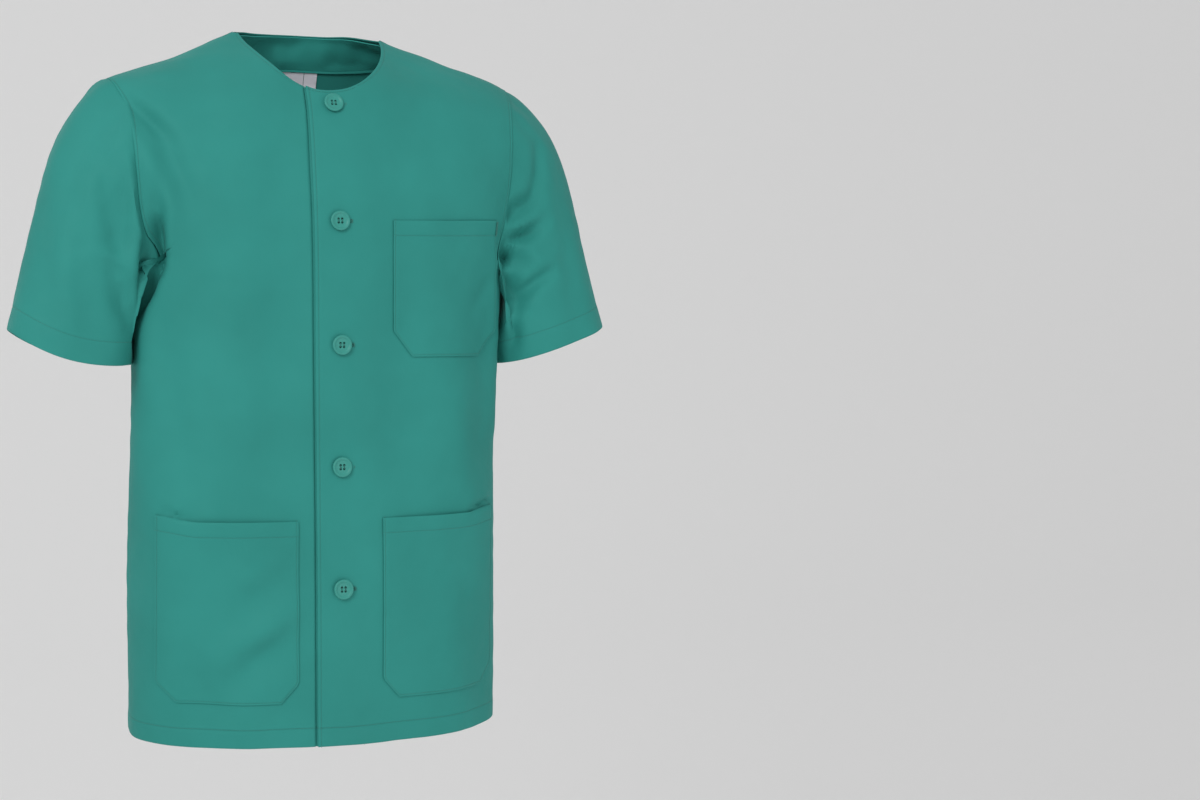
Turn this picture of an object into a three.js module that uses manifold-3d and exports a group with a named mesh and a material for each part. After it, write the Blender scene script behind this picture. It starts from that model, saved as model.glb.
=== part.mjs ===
// Short-sleeved, round-necked scrub tunic with a buttoned front, filled out as it is when worn.
// Millimetres. +Z is up, the wearer faces -Y and +X is the wearer's left.
// The origin lies midway between the two points where the shoulder seams reach the neck.

import * as THREE from "three";
import { mergeVertices } from "three/addons/utils/BufferGeometryUtils.js";
import Module from "manifold-3d";

const wasm = await Module();
wasm.setup();

// Driving dimensions
const CLOTH = 1.2; // wall of every cut piece
const GAP = 0.3; // distance between pieces at a seam
const LAP_GAP = 0.9; // distance between the two fronts where they overlap
const HEM_Z = -736;
const NECK_HALF = 79; // half the width of the neck, at the shoulder seams
const NECK_DROP = 72; // front neck below the shoulder seams
const NECK_CURVE = 1.4; // more than 1 makes the front neck a flatter U
const BACK_NECK_RISE = 9; // back neck stands a little above the shoulder seams
const SHOULDER_TIP_Z = -58;
const UNDERARM_Z = -262;
const OVERLAP = 26; // each front edge runs past the centre line by this
const TOP_ROW_Z = -1.5; // the cut pieces end this far below the points beside the neck

// One shoulder is carried higher. The lift grows out to outX, and up from lowZ to highZ.
const SHOULDER_TILT = { left: 6, right: 0, outX: 220, lowZ: -330, highZ: -110 };

const BUTTON_HEIGHTS = [-87.5, -208, -333.5, -456.5, -579];
const BUTTON_RADIUS = 10.2;
const BUTTON_THICKNESS = 3.2;
const BUTTON_GAP = 0.5; // the flat back of a button clears the curve of the front
const BUTTON_HOLES = { radius: 1, fromCentre: 1.6, sides: 5 };
const BUTTON_SIDES = 18;

// Horizontal sections of the worn body. half is half the width, front and back are the depths
// from the side line, middle is the y of the side line, square is 2 for an ellipse.
const SECTIONS = [
  { z: 14, half: 48, front: 10, back: 46, middle: 1, square: 2.1 },
  { z: 0, half: 79, front: 16, back: 56, middle: 1, square: 2.1 },
  { z: -26, half: 142, front: 50, back: 70, middle: 1, square: 2.15 },
  { z: -58, half: 220, front: 76, back: 86, middle: -3, square: 2.3 },
  { z: -82, half: 246, front: 87, back: 96, middle: -8, square: 2.5 },
  { z: -112, half: 253, front: 91, back: 105, middle: -14, square: 2.7 },
  { z: -150, half: 246, front: 91, back: 115, middle: -21, square: 2.8 },
  { z: -200, half: 225, front: 91, back: 123, middle: -28, square: 2.6 },
  { z: -252, half: 206, front: 90, back: 127, middle: -32, square: 2.4 },
  { z: -340, half: 197, front: 90, back: 126, middle: -34, square: 2.3 },
  { z: -460, half: 198, front: 98, back: 118, middle: -30, square: 2.28 },
  { z: -590, half: 199, front: 109, back: 112, middle: -23, square: 2.28 },
  { z: -740, half: 199, front: 114, back: 110, middle: -19, square: 2.28 },
];

// How far from the centre the armhole runs, in front and behind, down from the shoulder tip.
const ARMHOLE = [
  { z: -58, front: 220, back: 220 },
  { z: -74, front: 215, back: 217 },
  { z: -95, front: 209, back: 213 },
  { z: -125, front: 205, back: 209 },
  { z: -160, front: 202, back: 206 },
  { z: -195, front: 198, back: 203 },
  { z: -222, front: 192, back: 200 },
  { z: -240, front: 186, back: 199 },
  { z: -251, front: 186, back: 199 },
  { z: -258, front: 193, back: 201 },
  { z: -262, front: 205, back: 205 },
];
const ARMHOLE_STEPS = 13; // rows between the shoulder tip and the underarm

// Largest folds of the body. Each runs from (x, z) to (toX, toZ) on the front (side -1) or on
// the back (side 1), is width wide to each side, and is height proud, or deep where negative.
const BODY_FOLDS = [
  { side: -1, x: -216, z: -74, toX: -170, toZ: -124, width: 12, height: -5 },
  { side: -1, x: -190, z: -112, toX: -150, toZ: -196, width: 16, height: -6 },
  { side: -1, x: -196, z: -120, toX: -175, toZ: -205, width: 13, height: 3 },
  { side: -1, x: -118, z: -255, toX: -104, toZ: -450, width: 34, height: 4 },
  { side: -1, x: -62, z: -150, toX: -70, toZ: -470, width: 30, height: -3.5 },
  { side: -1, x: -142, z: -640, toX: -42, toZ: -592, width: 22, height: -2.8 },
  { side: -1, x: -150, z: -668, toX: -55, toZ: -700, width: 20, height: -2 },
  { side: -1, x: 62, z: -255, toX: 78, toZ: -470, width: 30, height: -3.5 },
  { side: -1, x: 122, z: -380, toX: 150, toZ: -500, width: 22, height: 3 },
  { side: -1, x: 190, z: -235, toX: 135, toZ: -205, width: 14, height: -3 },
  { side: 1, x: 112, z: -190, toX: 92, toZ: -560, width: 34, height: 5 },
  { side: 1, x: 52, z: -210, toX: 40, toZ: -600, width: 30, height: -3 },
  { side: 1, x: -104, z: -180, toX: -146, toZ: -470, width: 24, height: -6 },
  { side: 1, x: -60, z: -300, toX: -85, toZ: -640, width: 30, height: 3 },
  { side: 1, x: 178, z: -230, toX: 150, toZ: -330, width: 16, height: -4 },
];

// Sleeves. The cuff is a little flatter on the side of the body than outside; 2 is an ellipse.
const SLEEVE = {
  cuffY: -32,
  cuffHalfDepth: 60,
  squareInside: 2.7,
  squareOutside: 2.2,
  forward: 0.1, // how far the cloth turns back as it leaves the armhole in front
  seat: 1.2, // how far the sleeve stands off the body under the arm
  underFrom: 0.6, // how low, from 0 at the shoulder to 1, the cloth begins to leave as it does there
  dipLean: 0.25, // how much more the outer half of the cuff dips
  foldsFrom: 0.25, // share of the length over which the folds grow in from the armhole
  rows: 10,
  crowding: 1.15, // more than 1 brings the rows closer together at the armhole
};

// The wearer's left arm is held further out, so the two sleeves fall differently. leave and under
// are the slopes of the cloth at the shoulder tip and under the arm, and tilt is that of the cuff,
// all in degrees. dip is how far the cuff hangs below its plane. The pulls are the shares of the
// length over which the cloth keeps its direction at the armhole and at the cuff.
const FALL = {
  right: {
    x: 265,
    z: -336,
    half: 63,
    tilt: 16,
    dip: 13,
    leave: 30,
    under: 30,
    startPull: 0.28,
    endPull: 0.36,
  },
  left: {
    x: 266,
    z: -335,
    half: 64,
    tilt: 19,
    dip: 0,
    leave: 20,
    under: 78,
    startPull: 0.32,
    endPull: 0.46,
  },
};
const SLEEVE_FOLDS = {
  right: [
    { side: -1, x: -285, z: -150, toX: -262, toZ: -330, width: 14, height: 2.5 },
    { side: -1, x: -250, z: -130, toX: -232, toZ: -250, width: 12, height: -3.5 },
    { side: -1, x: -232, z: -250, toX: -190, toZ: -246, width: 9, height: -5 },
    { side: 1, x: -222, z: -160, toX: -214, toZ: -290, width: 10, height: -5 },
    { side: 1, x: -256, z: -140, toX: -262, toZ: -330, width: 16, height: 3 },
  ],
  left: [
    { side: -1, x: 212, z: -214, toX: 262, toZ: -160, width: 11, height: -5 },
    { side: -1, x: 212, z: -244, toX: 268, toZ: -214, width: 9, height: -4 },
    { side: -1, x: 222, z: -300, toX: 262, toZ: -262, width: 11, height: -5 },
    { side: -1, x: 290, z: -150, toX: 292, toZ: -320, width: 14, height: 3 },
    { side: 1, x: 222, z: -160, toX: 214, toZ: -290, width: 10, height: -5 },
    { side: 1, x: 262, z: -150, toX: 260, toZ: -330, width: 16, height: 3 },
  ],
};

// Patch pockets: x runs from the edge near the front to the edge near the side.
const POCKETS = [
  { name: "pocket_chest", innerX: 58, outerX: 181, top: -206, bottom: -346, cutX: 22, cutZ: 27, sag: 0 },
  { name: "pocket_hip_right", innerX: -45, outerX: -181, top: -505, bottom: -692, cutX: 18, cutZ: 20, sag: 5 },
  { name: "pocket_hip_left", innerX: 43, outerX: 181, top: -505, bottom: -692, cutX: 18, cutZ: 20, sag: 0 },
];
const POCKET_STAND = 2.6; // how far the middle of a pocket's mouth stands off the body

// Band inside the back neck, and the two labels sewn under it
const INSIDE_CLOTH = 1; // wall of the band and of the labels
const FACING_DEPTH = 38; // behind the neck
const FACING_END_DEPTH = 11; // at the shoulder seams
const FACING_END = 0.06; // radians by which each end stops short of the shoulder seam
const FACING_CURVE = 2.4; // more than 2 makes the band's lower edge flatter in the middle
const FACING_BELOW_TOP = 0.6;
const LABEL_BELOW_FACING = 1.2;
const LABELS = [
  { name: "label", fromX: -39, toX: 16, height: 26 },
  { name: "size_label", fromX: 16.6, toX: 31, height: 21 },
];

const FINISHES = {
  cloth: { color: 0x378e85, roughness: 0.85 },
  inside: { color: 0x2a7269, roughness: 0.88 },
  button: { color: 0x2e7971, roughness: 0.45 },
  label: { color: 0xe9e6ee, roughness: 0.6 },
};

function readTable(table, z, column) {
  const last = table.length - 1;
  let i = 0;
  while (i < last - 1 && z < table[i + 1].z) i += 1;
  const slope = (k) => {
    const above = Math.max(k - 1, 0);
    const below = Math.min(k + 1, last);
    return (table[below][column] - table[above][column]) / (table[below].z - table[above].z);
  };
  const span = table[i + 1].z - table[i].z;
  const t = (z - table[i].z) / span;
  const t2 = t * t;
  const t3 = t2 * t;
  return (
    (2 * t3 - 3 * t2 + 1) * table[i][column] +
    (t3 - 2 * t2 + t) * span * slope(i) +
    (3 * t2 - 2 * t3) * table[i + 1][column] +
    (t3 - t2) * span * slope(i + 1)
  );
}

function signedPower(value, power) {
  return Math.sign(value) * Math.abs(value) ** power;
}

function mix(a, b, t) {
  return a + (b - a) * t;
}

function smoothStep(from, to, value) {
  const t = Math.min(Math.max((value - from) / (to - from), 0), 1);
  return t * t * (3 - 2 * t);
}

// Point of the plain body. angle is 0 at the wearer's left side, -90 degrees at the front.
function plainPoint(angle, z) {
  const power = 2 / readTable(SECTIONS, z, "square");
  const depth = readTable(SECTIONS, z, Math.sin(angle) < 0 ? "front" : "back");
  const x = readTable(SECTIONS, z, "half") * signedPower(Math.cos(angle), power);
  const y = readTable(SECTIONS, z, "middle") + depth * signedPower(Math.sin(angle), power);
  const { left, right, outX, lowZ, highZ } = SHOULDER_TILT;
  const tilt = (x > 0 ? left : right) * smoothStep(NECK_HALF, outX, Math.abs(x));
  return new THREE.Vector3(x, y, z + tilt * smoothStep(lowZ, highZ, z));
}

function plainNormal(angle, z) {
  const turn = 0.004;
  const rise = 0.5;
  const across = plainPoint(angle + turn, z).sub(plainPoint(angle - turn, z));
  const up = plainPoint(angle, z + rise).sub(plainPoint(angle, z - rise));
  return across.cross(up).normalize();
}

// Height of all folds of a table at a point. facing is -1 where the cloth faces straight forward
// and 1 where it faces straight back; the folds fade out where it turns to the side.
function foldHeight(folds, x, z, facing) {
  const fade = 0.35;
  let height = 0;
  for (const fold of folds) {
    const alongX = fold.toX - fold.x;
    const alongZ = fold.toZ - fold.z;
    const length2 = alongX * alongX + alongZ * alongZ;
    const t = ((x - fold.x) * alongX + (z - fold.z) * alongZ) / length2;
    const nearest = Math.min(Math.max(t, 0), 1);
    const offX = x - fold.x - nearest * alongX;
    const offZ = z - fold.z - nearest * alongZ;
    const across = (offX * offX + offZ * offZ) / (fold.width * fold.width);
    const shown = smoothStep(0, fade, facing * fold.side);
    height += fold.height * Math.exp(-across) * shown;
  }
  return height;
}

// Point of the folded body, moved off its face by a distance: positive is outwards.
function bodyPoint(angle, z, off = 0) {
  const point = plainPoint(angle, z);
  const normal = plainNormal(angle, z);
  const fold = foldHeight(BODY_FOLDS, point.x, point.z, Math.sin(angle));
  return point.addScaledVector(normal, fold + off);
}

// Angle on the front of the body, or on the back with side 1, at which it is x from the centre.
function angleAt(x, z, side) {
  const share = Math.min(Math.abs(x) / readTable(SECTIONS, z, "half"), 1);
  const angle = Math.acos(share ** (readTable(SECTIONS, z, "square") / 2));
  return side * (x < 0 ? Math.PI - angle : angle);
}

// Closed wall between an outer and an inner grid of points. A ring joins its last column to
// its first one; a panel is closed round its four edges.
function wall(outer, inner, ring = false) {
  const rows = outer.length;
  const columns = outer[0].length;
  const points = [...outer.flat(), ...inner.flat()];
  const half = rows * columns;
  const faces = [];
  const quad = (a, b, c, d) => faces.push(a, b, c, a, c, d);
  const steps = ring ? columns : columns - 1;
  for (let j = 0; j < steps; j += 1) {
    const k = (j + 1) % columns;
    for (let i = 0; i < rows - 1; i += 1) {
      const low = i * columns;
      const high = low + columns;
      quad(low + j, low + k, high + k, high + j);
      quad(half + low + j, half + high + j, half + high + k, half + low + k);
    }
    const top = (rows - 1) * columns;
    quad(j, half + j, half + k, k);
    quad(top + j, top + k, half + top + k, half + top + j);
  }
  for (let i = 0; i < rows - 1 && !ring; i += 1) {
    const first = i * columns;
    const last = first + columns - 1;
    quad(first, first + columns, half + first + columns, half + first);
    quad(last, half + last, half + last + columns, last + columns);
  }
  return closedGeometry(points, faces);
}

function closedGeometry(points, faces) {
  let volume = 0;
  for (let f = 0; f < faces.length; f += 3) {
    const [a, b, c] = [points[faces[f]], points[faces[f + 1]], points[faces[f + 2]]];
    volume += a.dot(b.clone().cross(c));
  }
  const order = volume < 0 ? faces.reverse() : faces;
  const geometry = new THREE.BufferGeometry();
  const flat = points.flatMap((point) => [point.x, point.y, point.z]);
  geometry.setAttribute("position", new THREE.Float32BufferAttribute(flat, 3));
  geometry.setIndex(order);
  return geometry;
}

// Panel laid on the body: place(i, j) gives the angle, the height and how far it stands off.
function panelOnBody(rows, columns, place, thickness = CLOTH) {
  const outer = [];
  const inner = [];
  for (let i = 0; i <= rows; i += 1) {
    outer.push([]);
    inner.push([]);
    for (let j = 0; j <= columns; j += 1) {
      const { angle, z, off } = place(i, j);
      outer[i].push(bodyPoint(angle, z, off));
      inner[i].push(bodyPoint(angle, z, off - thickness));
    }
  }
  return wall(outer, inner);
}

// Heights, from the underarm up, that part the front armhole into stretches of equal length
function evenArmholeRows() {
  const fine = 200;
  const climb = 2; // more than 1 sets the fine steps closer together at the underarm
  const heights = Array.from({ length: fine + 1 }, (_, k) => {
    return mix(UNDERARM_Z, SHOULDER_TIP_Z, (k / fine) ** climb);
  });
  const points = heights.map((z) => plainPoint(angleAt(readTable(ARMHOLE, z, "front"), z, -1), z));
  const lengths = [0];
  for (let k = 1; k <= fine; k += 1) {
    lengths.push(lengths[k - 1] + points[k].distanceTo(points[k - 1]));
  }
  return Array.from({ length: ARMHOLE_STEPS + 1 }, (_, k) => {
    const wanted = (lengths[fine] * k) / ARMHOLE_STEPS;
    return heights[lengths.findIndex((length) => length >= wanted - 1e-9)];
  });
}

// Heights of the rows of the front and back pieces, from the hem to the neck
const HEM_ROWS = 15;
const hemRows = Array.from({ length: HEM_ROWS }, (_, k) => mix(HEM_Z, UNDERARM_Z, k / HEM_ROWS));
const shoulderRows = [-49, -40, -31, -22, -14, -7, TOP_ROW_Z];
const ROW_HEIGHTS = [...hemRows, ...evenArmholeRows(), ...shoulderRows];
const FIRST_ARMHOLE_ROW = HEM_ROWS;
const LAST_ARMHOLE_ROW = FIRST_ARMHOLE_ROW + ARMHOLE_STEPS;
const NECK_BASE_ROW = LAST_ARMHOLE_ROW - 3; // the front's centre edge ends on this row

// Height of a row away from the seams: between the underarm and the shoulder tip, where the seam
// brings the rows together, they are evenly spaced here.
function evenHeight(row) {
  if (row <= FIRST_ARMHOLE_ROW || row >= LAST_ARMHOLE_ROW) return ROW_HEIGHTS[row];
  return mix(UNDERARM_Z, SHOULDER_TIP_Z, (row - FIRST_ARMHOLE_ROW) / ARMHOLE_STEPS);
}

// Angle, measured from the side line, of the seam that bounds a body piece at a row
function seamAngle(row, side) {
  const z = ROW_HEIGHTS[row];
  const halfGap = 0.0012;
  if (row <= FIRST_ARMHOLE_ROW || row >= LAST_ARMHOLE_ROW) return side * halfGap;
  const x = readTable(ARMHOLE, z, side < 0 ? "front" : "back");
  return angleAt(x, z, side);
}

function frontNeckZ(turn) {
  return -NECK_DROP * Math.abs(Math.sin(turn)) ** NECK_CURVE;
}

const FRONT_COLUMNS = { lap: 3, body: 13 };
const FRONT_SAG = 1.5; // more than 1 keeps a row at the height of its start for longer
const LAP_EASE = { from: 34, to: 86 }; // between these x the upper front comes down onto the body
const LAP_TURN = Math.acos(OVERLAP / NECK_HALF);
const TOP_ROW = ROW_HEIGHTS.length - 1;
const TOP_TURN = 0.11; // how near the neck curve runs to the shoulder seam before it ends

// Where a row of the wearer's left front starts: on the lap line, or on the neck above it
function frontRowStart(row) {
  if (row <= NECK_BASE_ROW) {
    const share = (evenHeight(row) - HEM_Z) / (evenHeight(NECK_BASE_ROW) - HEM_Z);
    return { x: OVERLAP, z: mix(HEM_Z, frontNeckZ(LAP_TURN), share) };
  }
  const turn = mix(LAP_TURN, TOP_TURN, (row - NECK_BASE_ROW) / (TOP_ROW - NECK_BASE_ROW));
  return { x: NECK_HALF * Math.cos(turn), z: frontNeckZ(turn) };
}

function frontPlace(row, column) {
  const start = frontRowStart(row);
  if (column < 0) {
    const x = mix(OVERLAP, -OVERLAP, -column / FRONT_COLUMNS.lap);
    const rise = (start.z - HEM_Z) / (frontNeckZ(LAP_TURN) - HEM_Z);
    const z = mix(HEM_Z, frontNeckZ(Math.acos(x / NECK_HALF)), rise);
    return { angle: angleAt(x, z, -1), z };
  }
  const share = column / FRONT_COLUMNS.body;
  const angle = mix(angleAt(start.x, start.z, -1), seamAngle(row, -1), share);
  return { angle, z: mix(start.z, ROW_HEIGHTS[row], share ** FRONT_SAG) };
}

// One front, drawn for the wearer's left and mirrored for the right. The lap columns cross the
// centre line; they end on the neck, where the body columns go on up to the shoulder.
function frontPiece(mirror, standOff) {
  const block = (lastRow, firstColumn, lastColumn) => {
    const grid = { outer: [], inner: [] };
    for (let row = 0; row <= lastRow; row += 1) {
      grid.outer.push([]);
      grid.inner.push([]);
      for (let column = firstColumn; column <= lastColumn; column += 1) {
        const { angle, z } = frontPlace(row, column);
        const turned = mirror ? -Math.PI - angle : angle;
        const off = standOff * (1 - smoothStep(LAP_EASE.from, LAP_EASE.to, plainPoint(angle, z).x));
        grid.outer[row].push(bodyPoint(turned, z, off));
        grid.inner[row].push(bodyPoint(turned, z, off - CLOTH));
      }
    }
    return grid;
  };
  const body = block(TOP_ROW, 0, FRONT_COLUMNS.body);
  const lap = block(NECK_BASE_ROW, -FRONT_COLUMNS.lap, 0);
  return { geometry: weldBlocks(body, lap), body, lap };
}

// Point between the points of a grid, by fractions of a row and a column
function between(points, row, column) {
  const i = Math.min(Math.max(Math.floor(row), 0), points.length - 2);
  const j = Math.min(Math.max(Math.floor(column), 0), points[0].length - 2);
  const low = points[i][j].clone().lerp(points[i][j + 1], column - j);
  const high = points[i + 1][j].clone().lerp(points[i + 1][j + 1], column - j);
  return low.lerp(high, row - i);
}

// Row and column of a grid at which a point has this x and z, stepping closer from a guess
function locate(grid, x, z, guess) {
  const step = 0.1;
  const passes = 12;
  const lastRow = grid.outer.length - 1 - 2 * step;
  const lastColumn = grid.outer[0].length - 1 - 2 * step;
  let [row, column] = guess;
  for (let pass = 0; pass < passes; pass += 1) {
    const here = between(grid.outer, row, column);
    const slopeX = (between(grid.outer, row, column + step).x - here.x) / step;
    const slopeZ = (between(grid.outer, row + step, column).z - here.z) / step;
    column = Math.min(Math.max(column + (x - here.x) / slopeX, 0), lastColumn);
    row = Math.min(Math.max(row + (z - here.z) / slopeZ, 0), lastRow);
  }
  return [row, column];
}

// Point that stands off the outer face of a piece
function pointOnPiece(grid, row, column, off) {
  const outer = between(grid.outer, row, column);
  const outwards = outer.clone().sub(between(grid.inner, row, column)).normalize();
  return outer.addScaledVector(outwards, off);
}

// Joins two walls that share a column of points into one closed wall.
function weldBlocks(body, lap) {
  const points = [];
  const faces = [];
  const index = new Map();
  const id = (point) => {
    const key = point.toArray().map((value) => value.toFixed(4)).join();
    if (!index.has(key)) {
      index.set(key, points.length);
      points.push(point);
    }
    return index.get(key);
  };
  for (const { outer, inner } of [lap, body]) {
    const source = [...outer.flat(), ...inner.flat()];
    for (const corner of wall(outer, inner).getIndex().array) faces.push(id(source[corner]));
  }
  return closedGeometry(points, dropShared(faces));
}

// Takes out the faces that two welded walls have in common, back to back.
function dropShared(faces) {
  const count = new Map();
  const keyOf = (f) => [faces[f], faces[f + 1], faces[f + 2]].sort((a, b) => a - b).join(",");
  for (let f = 0; f < faces.length; f += 3) count.set(keyOf(f), (count.get(keyOf(f)) ?? 0) + 1);
  const kept = [];
  for (let f = 0; f < faces.length; f += 3) {
    if (count.get(keyOf(f)) === 1) kept.push(faces[f], faces[f + 1], faces[f + 2]);
  }
  return kept;
}

const BACK_COLUMNS = 24;
const BACK_NECK_FLATNESS = 3; // more than 1 makes the back neck flatter in the middle

// How far the back neck stands above the shoulder seams, by the share of the way round it
function backNeckRise(share) {
  return BACK_NECK_RISE * (1 - Math.abs(2 * share - 1) ** BACK_NECK_FLATNESS);
}

function backPiece() {
  return panelOnBody(TOP_ROW, BACK_COLUMNS, (row, column) => {
    const share = column / BACK_COLUMNS;
    const start = seamAngle(row, 1);
    const angle = mix(start, Math.PI - start, share);
    const neckward = smoothStep(SHOULDER_TIP_Z, TOP_ROW_Z, ROW_HEIGHTS[row]);
    const fromSeam = 1 - Math.abs(2 * share - 1);
    const z = mix(ROW_HEIGHTS[row], evenHeight(row), smoothStep(0, 1, fromSeam));
    return { angle, z: z + neckward * backNeckRise(share), off: 0 };
  });
}

// The armhole as the sleeve meets it. Each step has the point, the body's outward direction and
// the turn, 0 at the shoulder tip and a half turn at the underarm, all as on the wearer's left.
function armholeRing(mirror) {
  const around = 2 * ARMHOLE_STEPS;
  return Array.from({ length: around }, (_, k) => {
    const side = k <= ARMHOLE_STEPS ? -1 : 1;
    const row = LAST_ARMHOLE_ROW - (k <= ARMHOLE_STEPS ? k : around - k);
    const z = ROW_HEIGHTS[row];
    const atEnd = row === LAST_ARMHOLE_ROW || row === FIRST_ARMHOLE_ROW;
    const seam = atEnd ? 0 : seamAngle(row, side);
    const angle = mirror > 0 ? seam : side * Math.PI - seam;
    const edge = bodyPoint(angle, z);
    const normal = plainNormal(angle, z);
    edge.x *= mirror;
    normal.x *= mirror;
    return { turn: (2 * Math.PI * k) / around, edge, normal };
  });
}

// Point of the cuff's rim
function cuffPoint(fall, turn) {
  const tilt = THREE.MathUtils.degToRad(fall.tilt);
  const power = 2 / (Math.cos(turn) < 0 ? SLEEVE.squareInside : SLEEVE.squareOutside);
  const across = signedPower(Math.cos(turn), power);
  const dip = fall.dip * (1 - across ** 2) * (1 + SLEEVE.dipLean * across);
  return new THREE.Vector3(
    fall.x + fall.half * across * Math.cos(tilt),
    SLEEVE.cuffY - SLEEVE.cuffHalfDepth * signedPower(Math.sin(turn), power),
    fall.z + fall.half * across * Math.sin(tilt) - dip,
  );
}

// Sleeve: cloth leaves the armhole edge, turns down over the arm and ends at the cuff.
function sleevePiece(hand) {
  const mirror = hand === "right" ? -1 : 1;
  const fall = FALL[hand];
  const { degToRad } = THREE.MathUtils;
  const tilt = degToRad(fall.tilt);
  const cuffDown = new THREE.Vector3(Math.sin(tilt), 0, -Math.cos(tilt));
  const paths = armholeRing(mirror).map(({ turn, edge, normal }) => {
    const lowness = (1 - Math.cos(turn)) / 2;
    const under = smoothStep(SLEEVE.underFrom, 1, lowness);
    const drop = degToRad(mix(fall.leave, fall.under, lowness));
    const leave = new THREE.Vector3(1, SLEEVE.forward * Math.sin(turn), 0).lerp(normal, under);
    leave.setZ(0).normalize().multiplyScalar(Math.cos(drop)).setZ(-Math.sin(drop));
    const start = edge.addScaledVector(leave, GAP).addScaledVector(normal, SLEEVE.seat * under);
    const end = cuffPoint(fall, turn);
    const reach = start.distanceTo(end);
    const first = start.clone().addScaledVector(leave, fall.startPull * reach);
    const second = end.clone().addScaledVector(cuffDown, -fall.endPull * reach);
    return new THREE.CubicBezierCurve3(start, first, second, end);
  });
  const grid = Array.from({ length: SLEEVE.rows + 1 }, (_, i) => {
    const t = (i / SLEEVE.rows) ** SLEEVE.crowding;
    return paths.map((path) => path.getPoint(t));
  });
  return ringWall(grid, mirror, SLEEVE_FOLDS[hand]);
}

// Wall inside a grid of rings, folded by a table of folds. The first ring is left unfolded.
function ringWall(grid, mirror, folds) {
  const columns = grid[0].length;
  const last = grid.length - 1;
  const outer = [];
  const inner = [];
  grid.forEach((ring, i) => {
    outer.push([]);
    inner.push([]);
    ring.forEach((point, j) => {
      const before = ring[(j + columns - 1) % columns];
      const after = ring[(j + 1) % columns];
      const around = after.clone().sub(before);
      const down = grid[Math.min(i + 1, last)][j].clone().sub(grid[Math.max(i - 1, 0)][j]);
      const normal = around.cross(down).normalize();
      const hold = smoothStep(0, SLEEVE.foldsFrom, i / last);
      const fold = foldHeight(folds, mirror * point.x, point.z, normal.y) * hold;
      const face = point.clone().addScaledVector(normal, fold);
      const back = face.clone().addScaledVector(normal, -CLOTH);
      for (const spot of [face, back]) spot.x *= mirror;
      outer[i].push(face);
      inner[i].push(back);
    });
  });
  return wall(outer, inner, true);
}

const POCKET_PITCH = 9; // between the rows and columns of a pocket
const POCKET_GAP = 0.9;
const POCKET_MOUTH = 0.7; // share of the height above which the pocket begins to stand off
const POCKET_SAG = { up: 0.5, across: 0.3 }; // where the sag of the mouth begins, and its run

// Patch pocket with cut-off lower corners. Its points are points of the front piece under it,
// moved out.
function pocketPiece(pocket, grid) {
  const rows = Math.round((pocket.top - pocket.bottom) / POCKET_PITCH);
  const columns = Math.round(Math.abs(pocket.outerX - pocket.innerX) / POCKET_PITCH);
  const outer = [];
  const inner = [];
  let spot = [grid.outer.length / 3, grid.outer[0].length / 2];
  for (let i = 0; i <= rows; i += 1) {
    const up = i / rows;
    outer.push([]);
    inner.push([]);
    for (let j = 0; j <= columns; j += 1) {
      const share = j / columns;
      const x = mix(pocket.innerX, pocket.outerX, share);
      const sagAcross = smoothStep(0, POCKET_SAG.across, 1 - share);
      const sag = pocket.sag * sagAcross * smoothStep(POCKET_SAG.up, 1, up);
      spot = locate(grid, x, mix(pocket.bottom, pocket.top, up) - sag, spot);
      const mouth = POCKET_STAND * smoothStep(POCKET_MOUTH, 1, up) * Math.sin(Math.PI * share) ** 2;
      outer[i].push(pointOnPiece(grid, spot[0], spot[1], POCKET_GAP + CLOTH + mouth));
      inner[i].push(pointOnPiece(grid, spot[0], spot[1], POCKET_GAP + mouth));
    }
  }
  const way = Math.sign(pocket.innerX);
  return geometryOf(
    solidOf(wall(outer, inner))
      .subtract(pocketCorner(pocket, pocket.innerX, way))
      .subtract(pocketCorner(pocket, pocket.outerX, -way)),
  );
}

// What is cut off a lower corner of a pocket, straight back through it
function pocketCorner(pocket, x, way) {
  const past = 20;
  const depth = 300;
  const cutToX = x + pocket.cutX * way;
  const cutToZ = pocket.bottom + pocket.cutZ;
  const outline = new THREE.Shape();
  outline.moveTo(x - past * way, pocket.bottom - past);
  outline.lineTo(x - past * way, cutToZ);
  outline.lineTo(x, cutToZ);
  outline.lineTo(cutToX, pocket.bottom);
  outline.lineTo(cutToX, pocket.bottom - past);
  const wedge = new THREE.ExtrudeGeometry(outline, { depth, bevelEnabled: false });
  return solidOf(wedge.rotateX(Math.PI / 2));
}

// Height of the lower edge of the band inside the back neck, by the share of the way along it
function facingLowZ(share) {
  const middle = 1 - Math.abs(2 * share - 1) ** FACING_CURVE;
  return mix(-FACING_END_DEPTH, BACK_NECK_RISE - FACING_DEPTH, middle);
}

// Band inside the back neck, from one shoulder seam to the other
function facingPiece() {
  const columns = 18;
  const rows = 3;
  const place = (row, column) => {
    const share = column / columns;
    const top = TOP_ROW_Z - FACING_BELOW_TOP + backNeckRise(share);
    const z = mix(facingLowZ(share), top, row / rows);
    return { angle: mix(FACING_END, Math.PI - FACING_END, share), z, off: -CLOTH - GAP };
  };
  return panelOnBody(rows, columns, place, INSIDE_CLOTH);
}

function labelPiece(label) {
  const columns = 6;
  const rows = 2;
  const middleAngle = angleAt((label.fromX + label.toX) / 2, BACK_NECK_RISE - FACING_DEPTH, 1);
  const middle = (middleAngle - FACING_END) / (Math.PI - 2 * FACING_END);
  const top = facingLowZ(middle) - LABEL_BELOW_FACING;
  const place = (row, column) => {
    const x = mix(label.fromX, label.toX, column / columns);
    const z = top - label.height * (1 - row / rows);
    return { angle: angleAt(x, z, 1), z, off: -CLOTH - GAP };
  };
  return panelOnBody(rows, columns, place, INSIDE_CLOTH);
}

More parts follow.
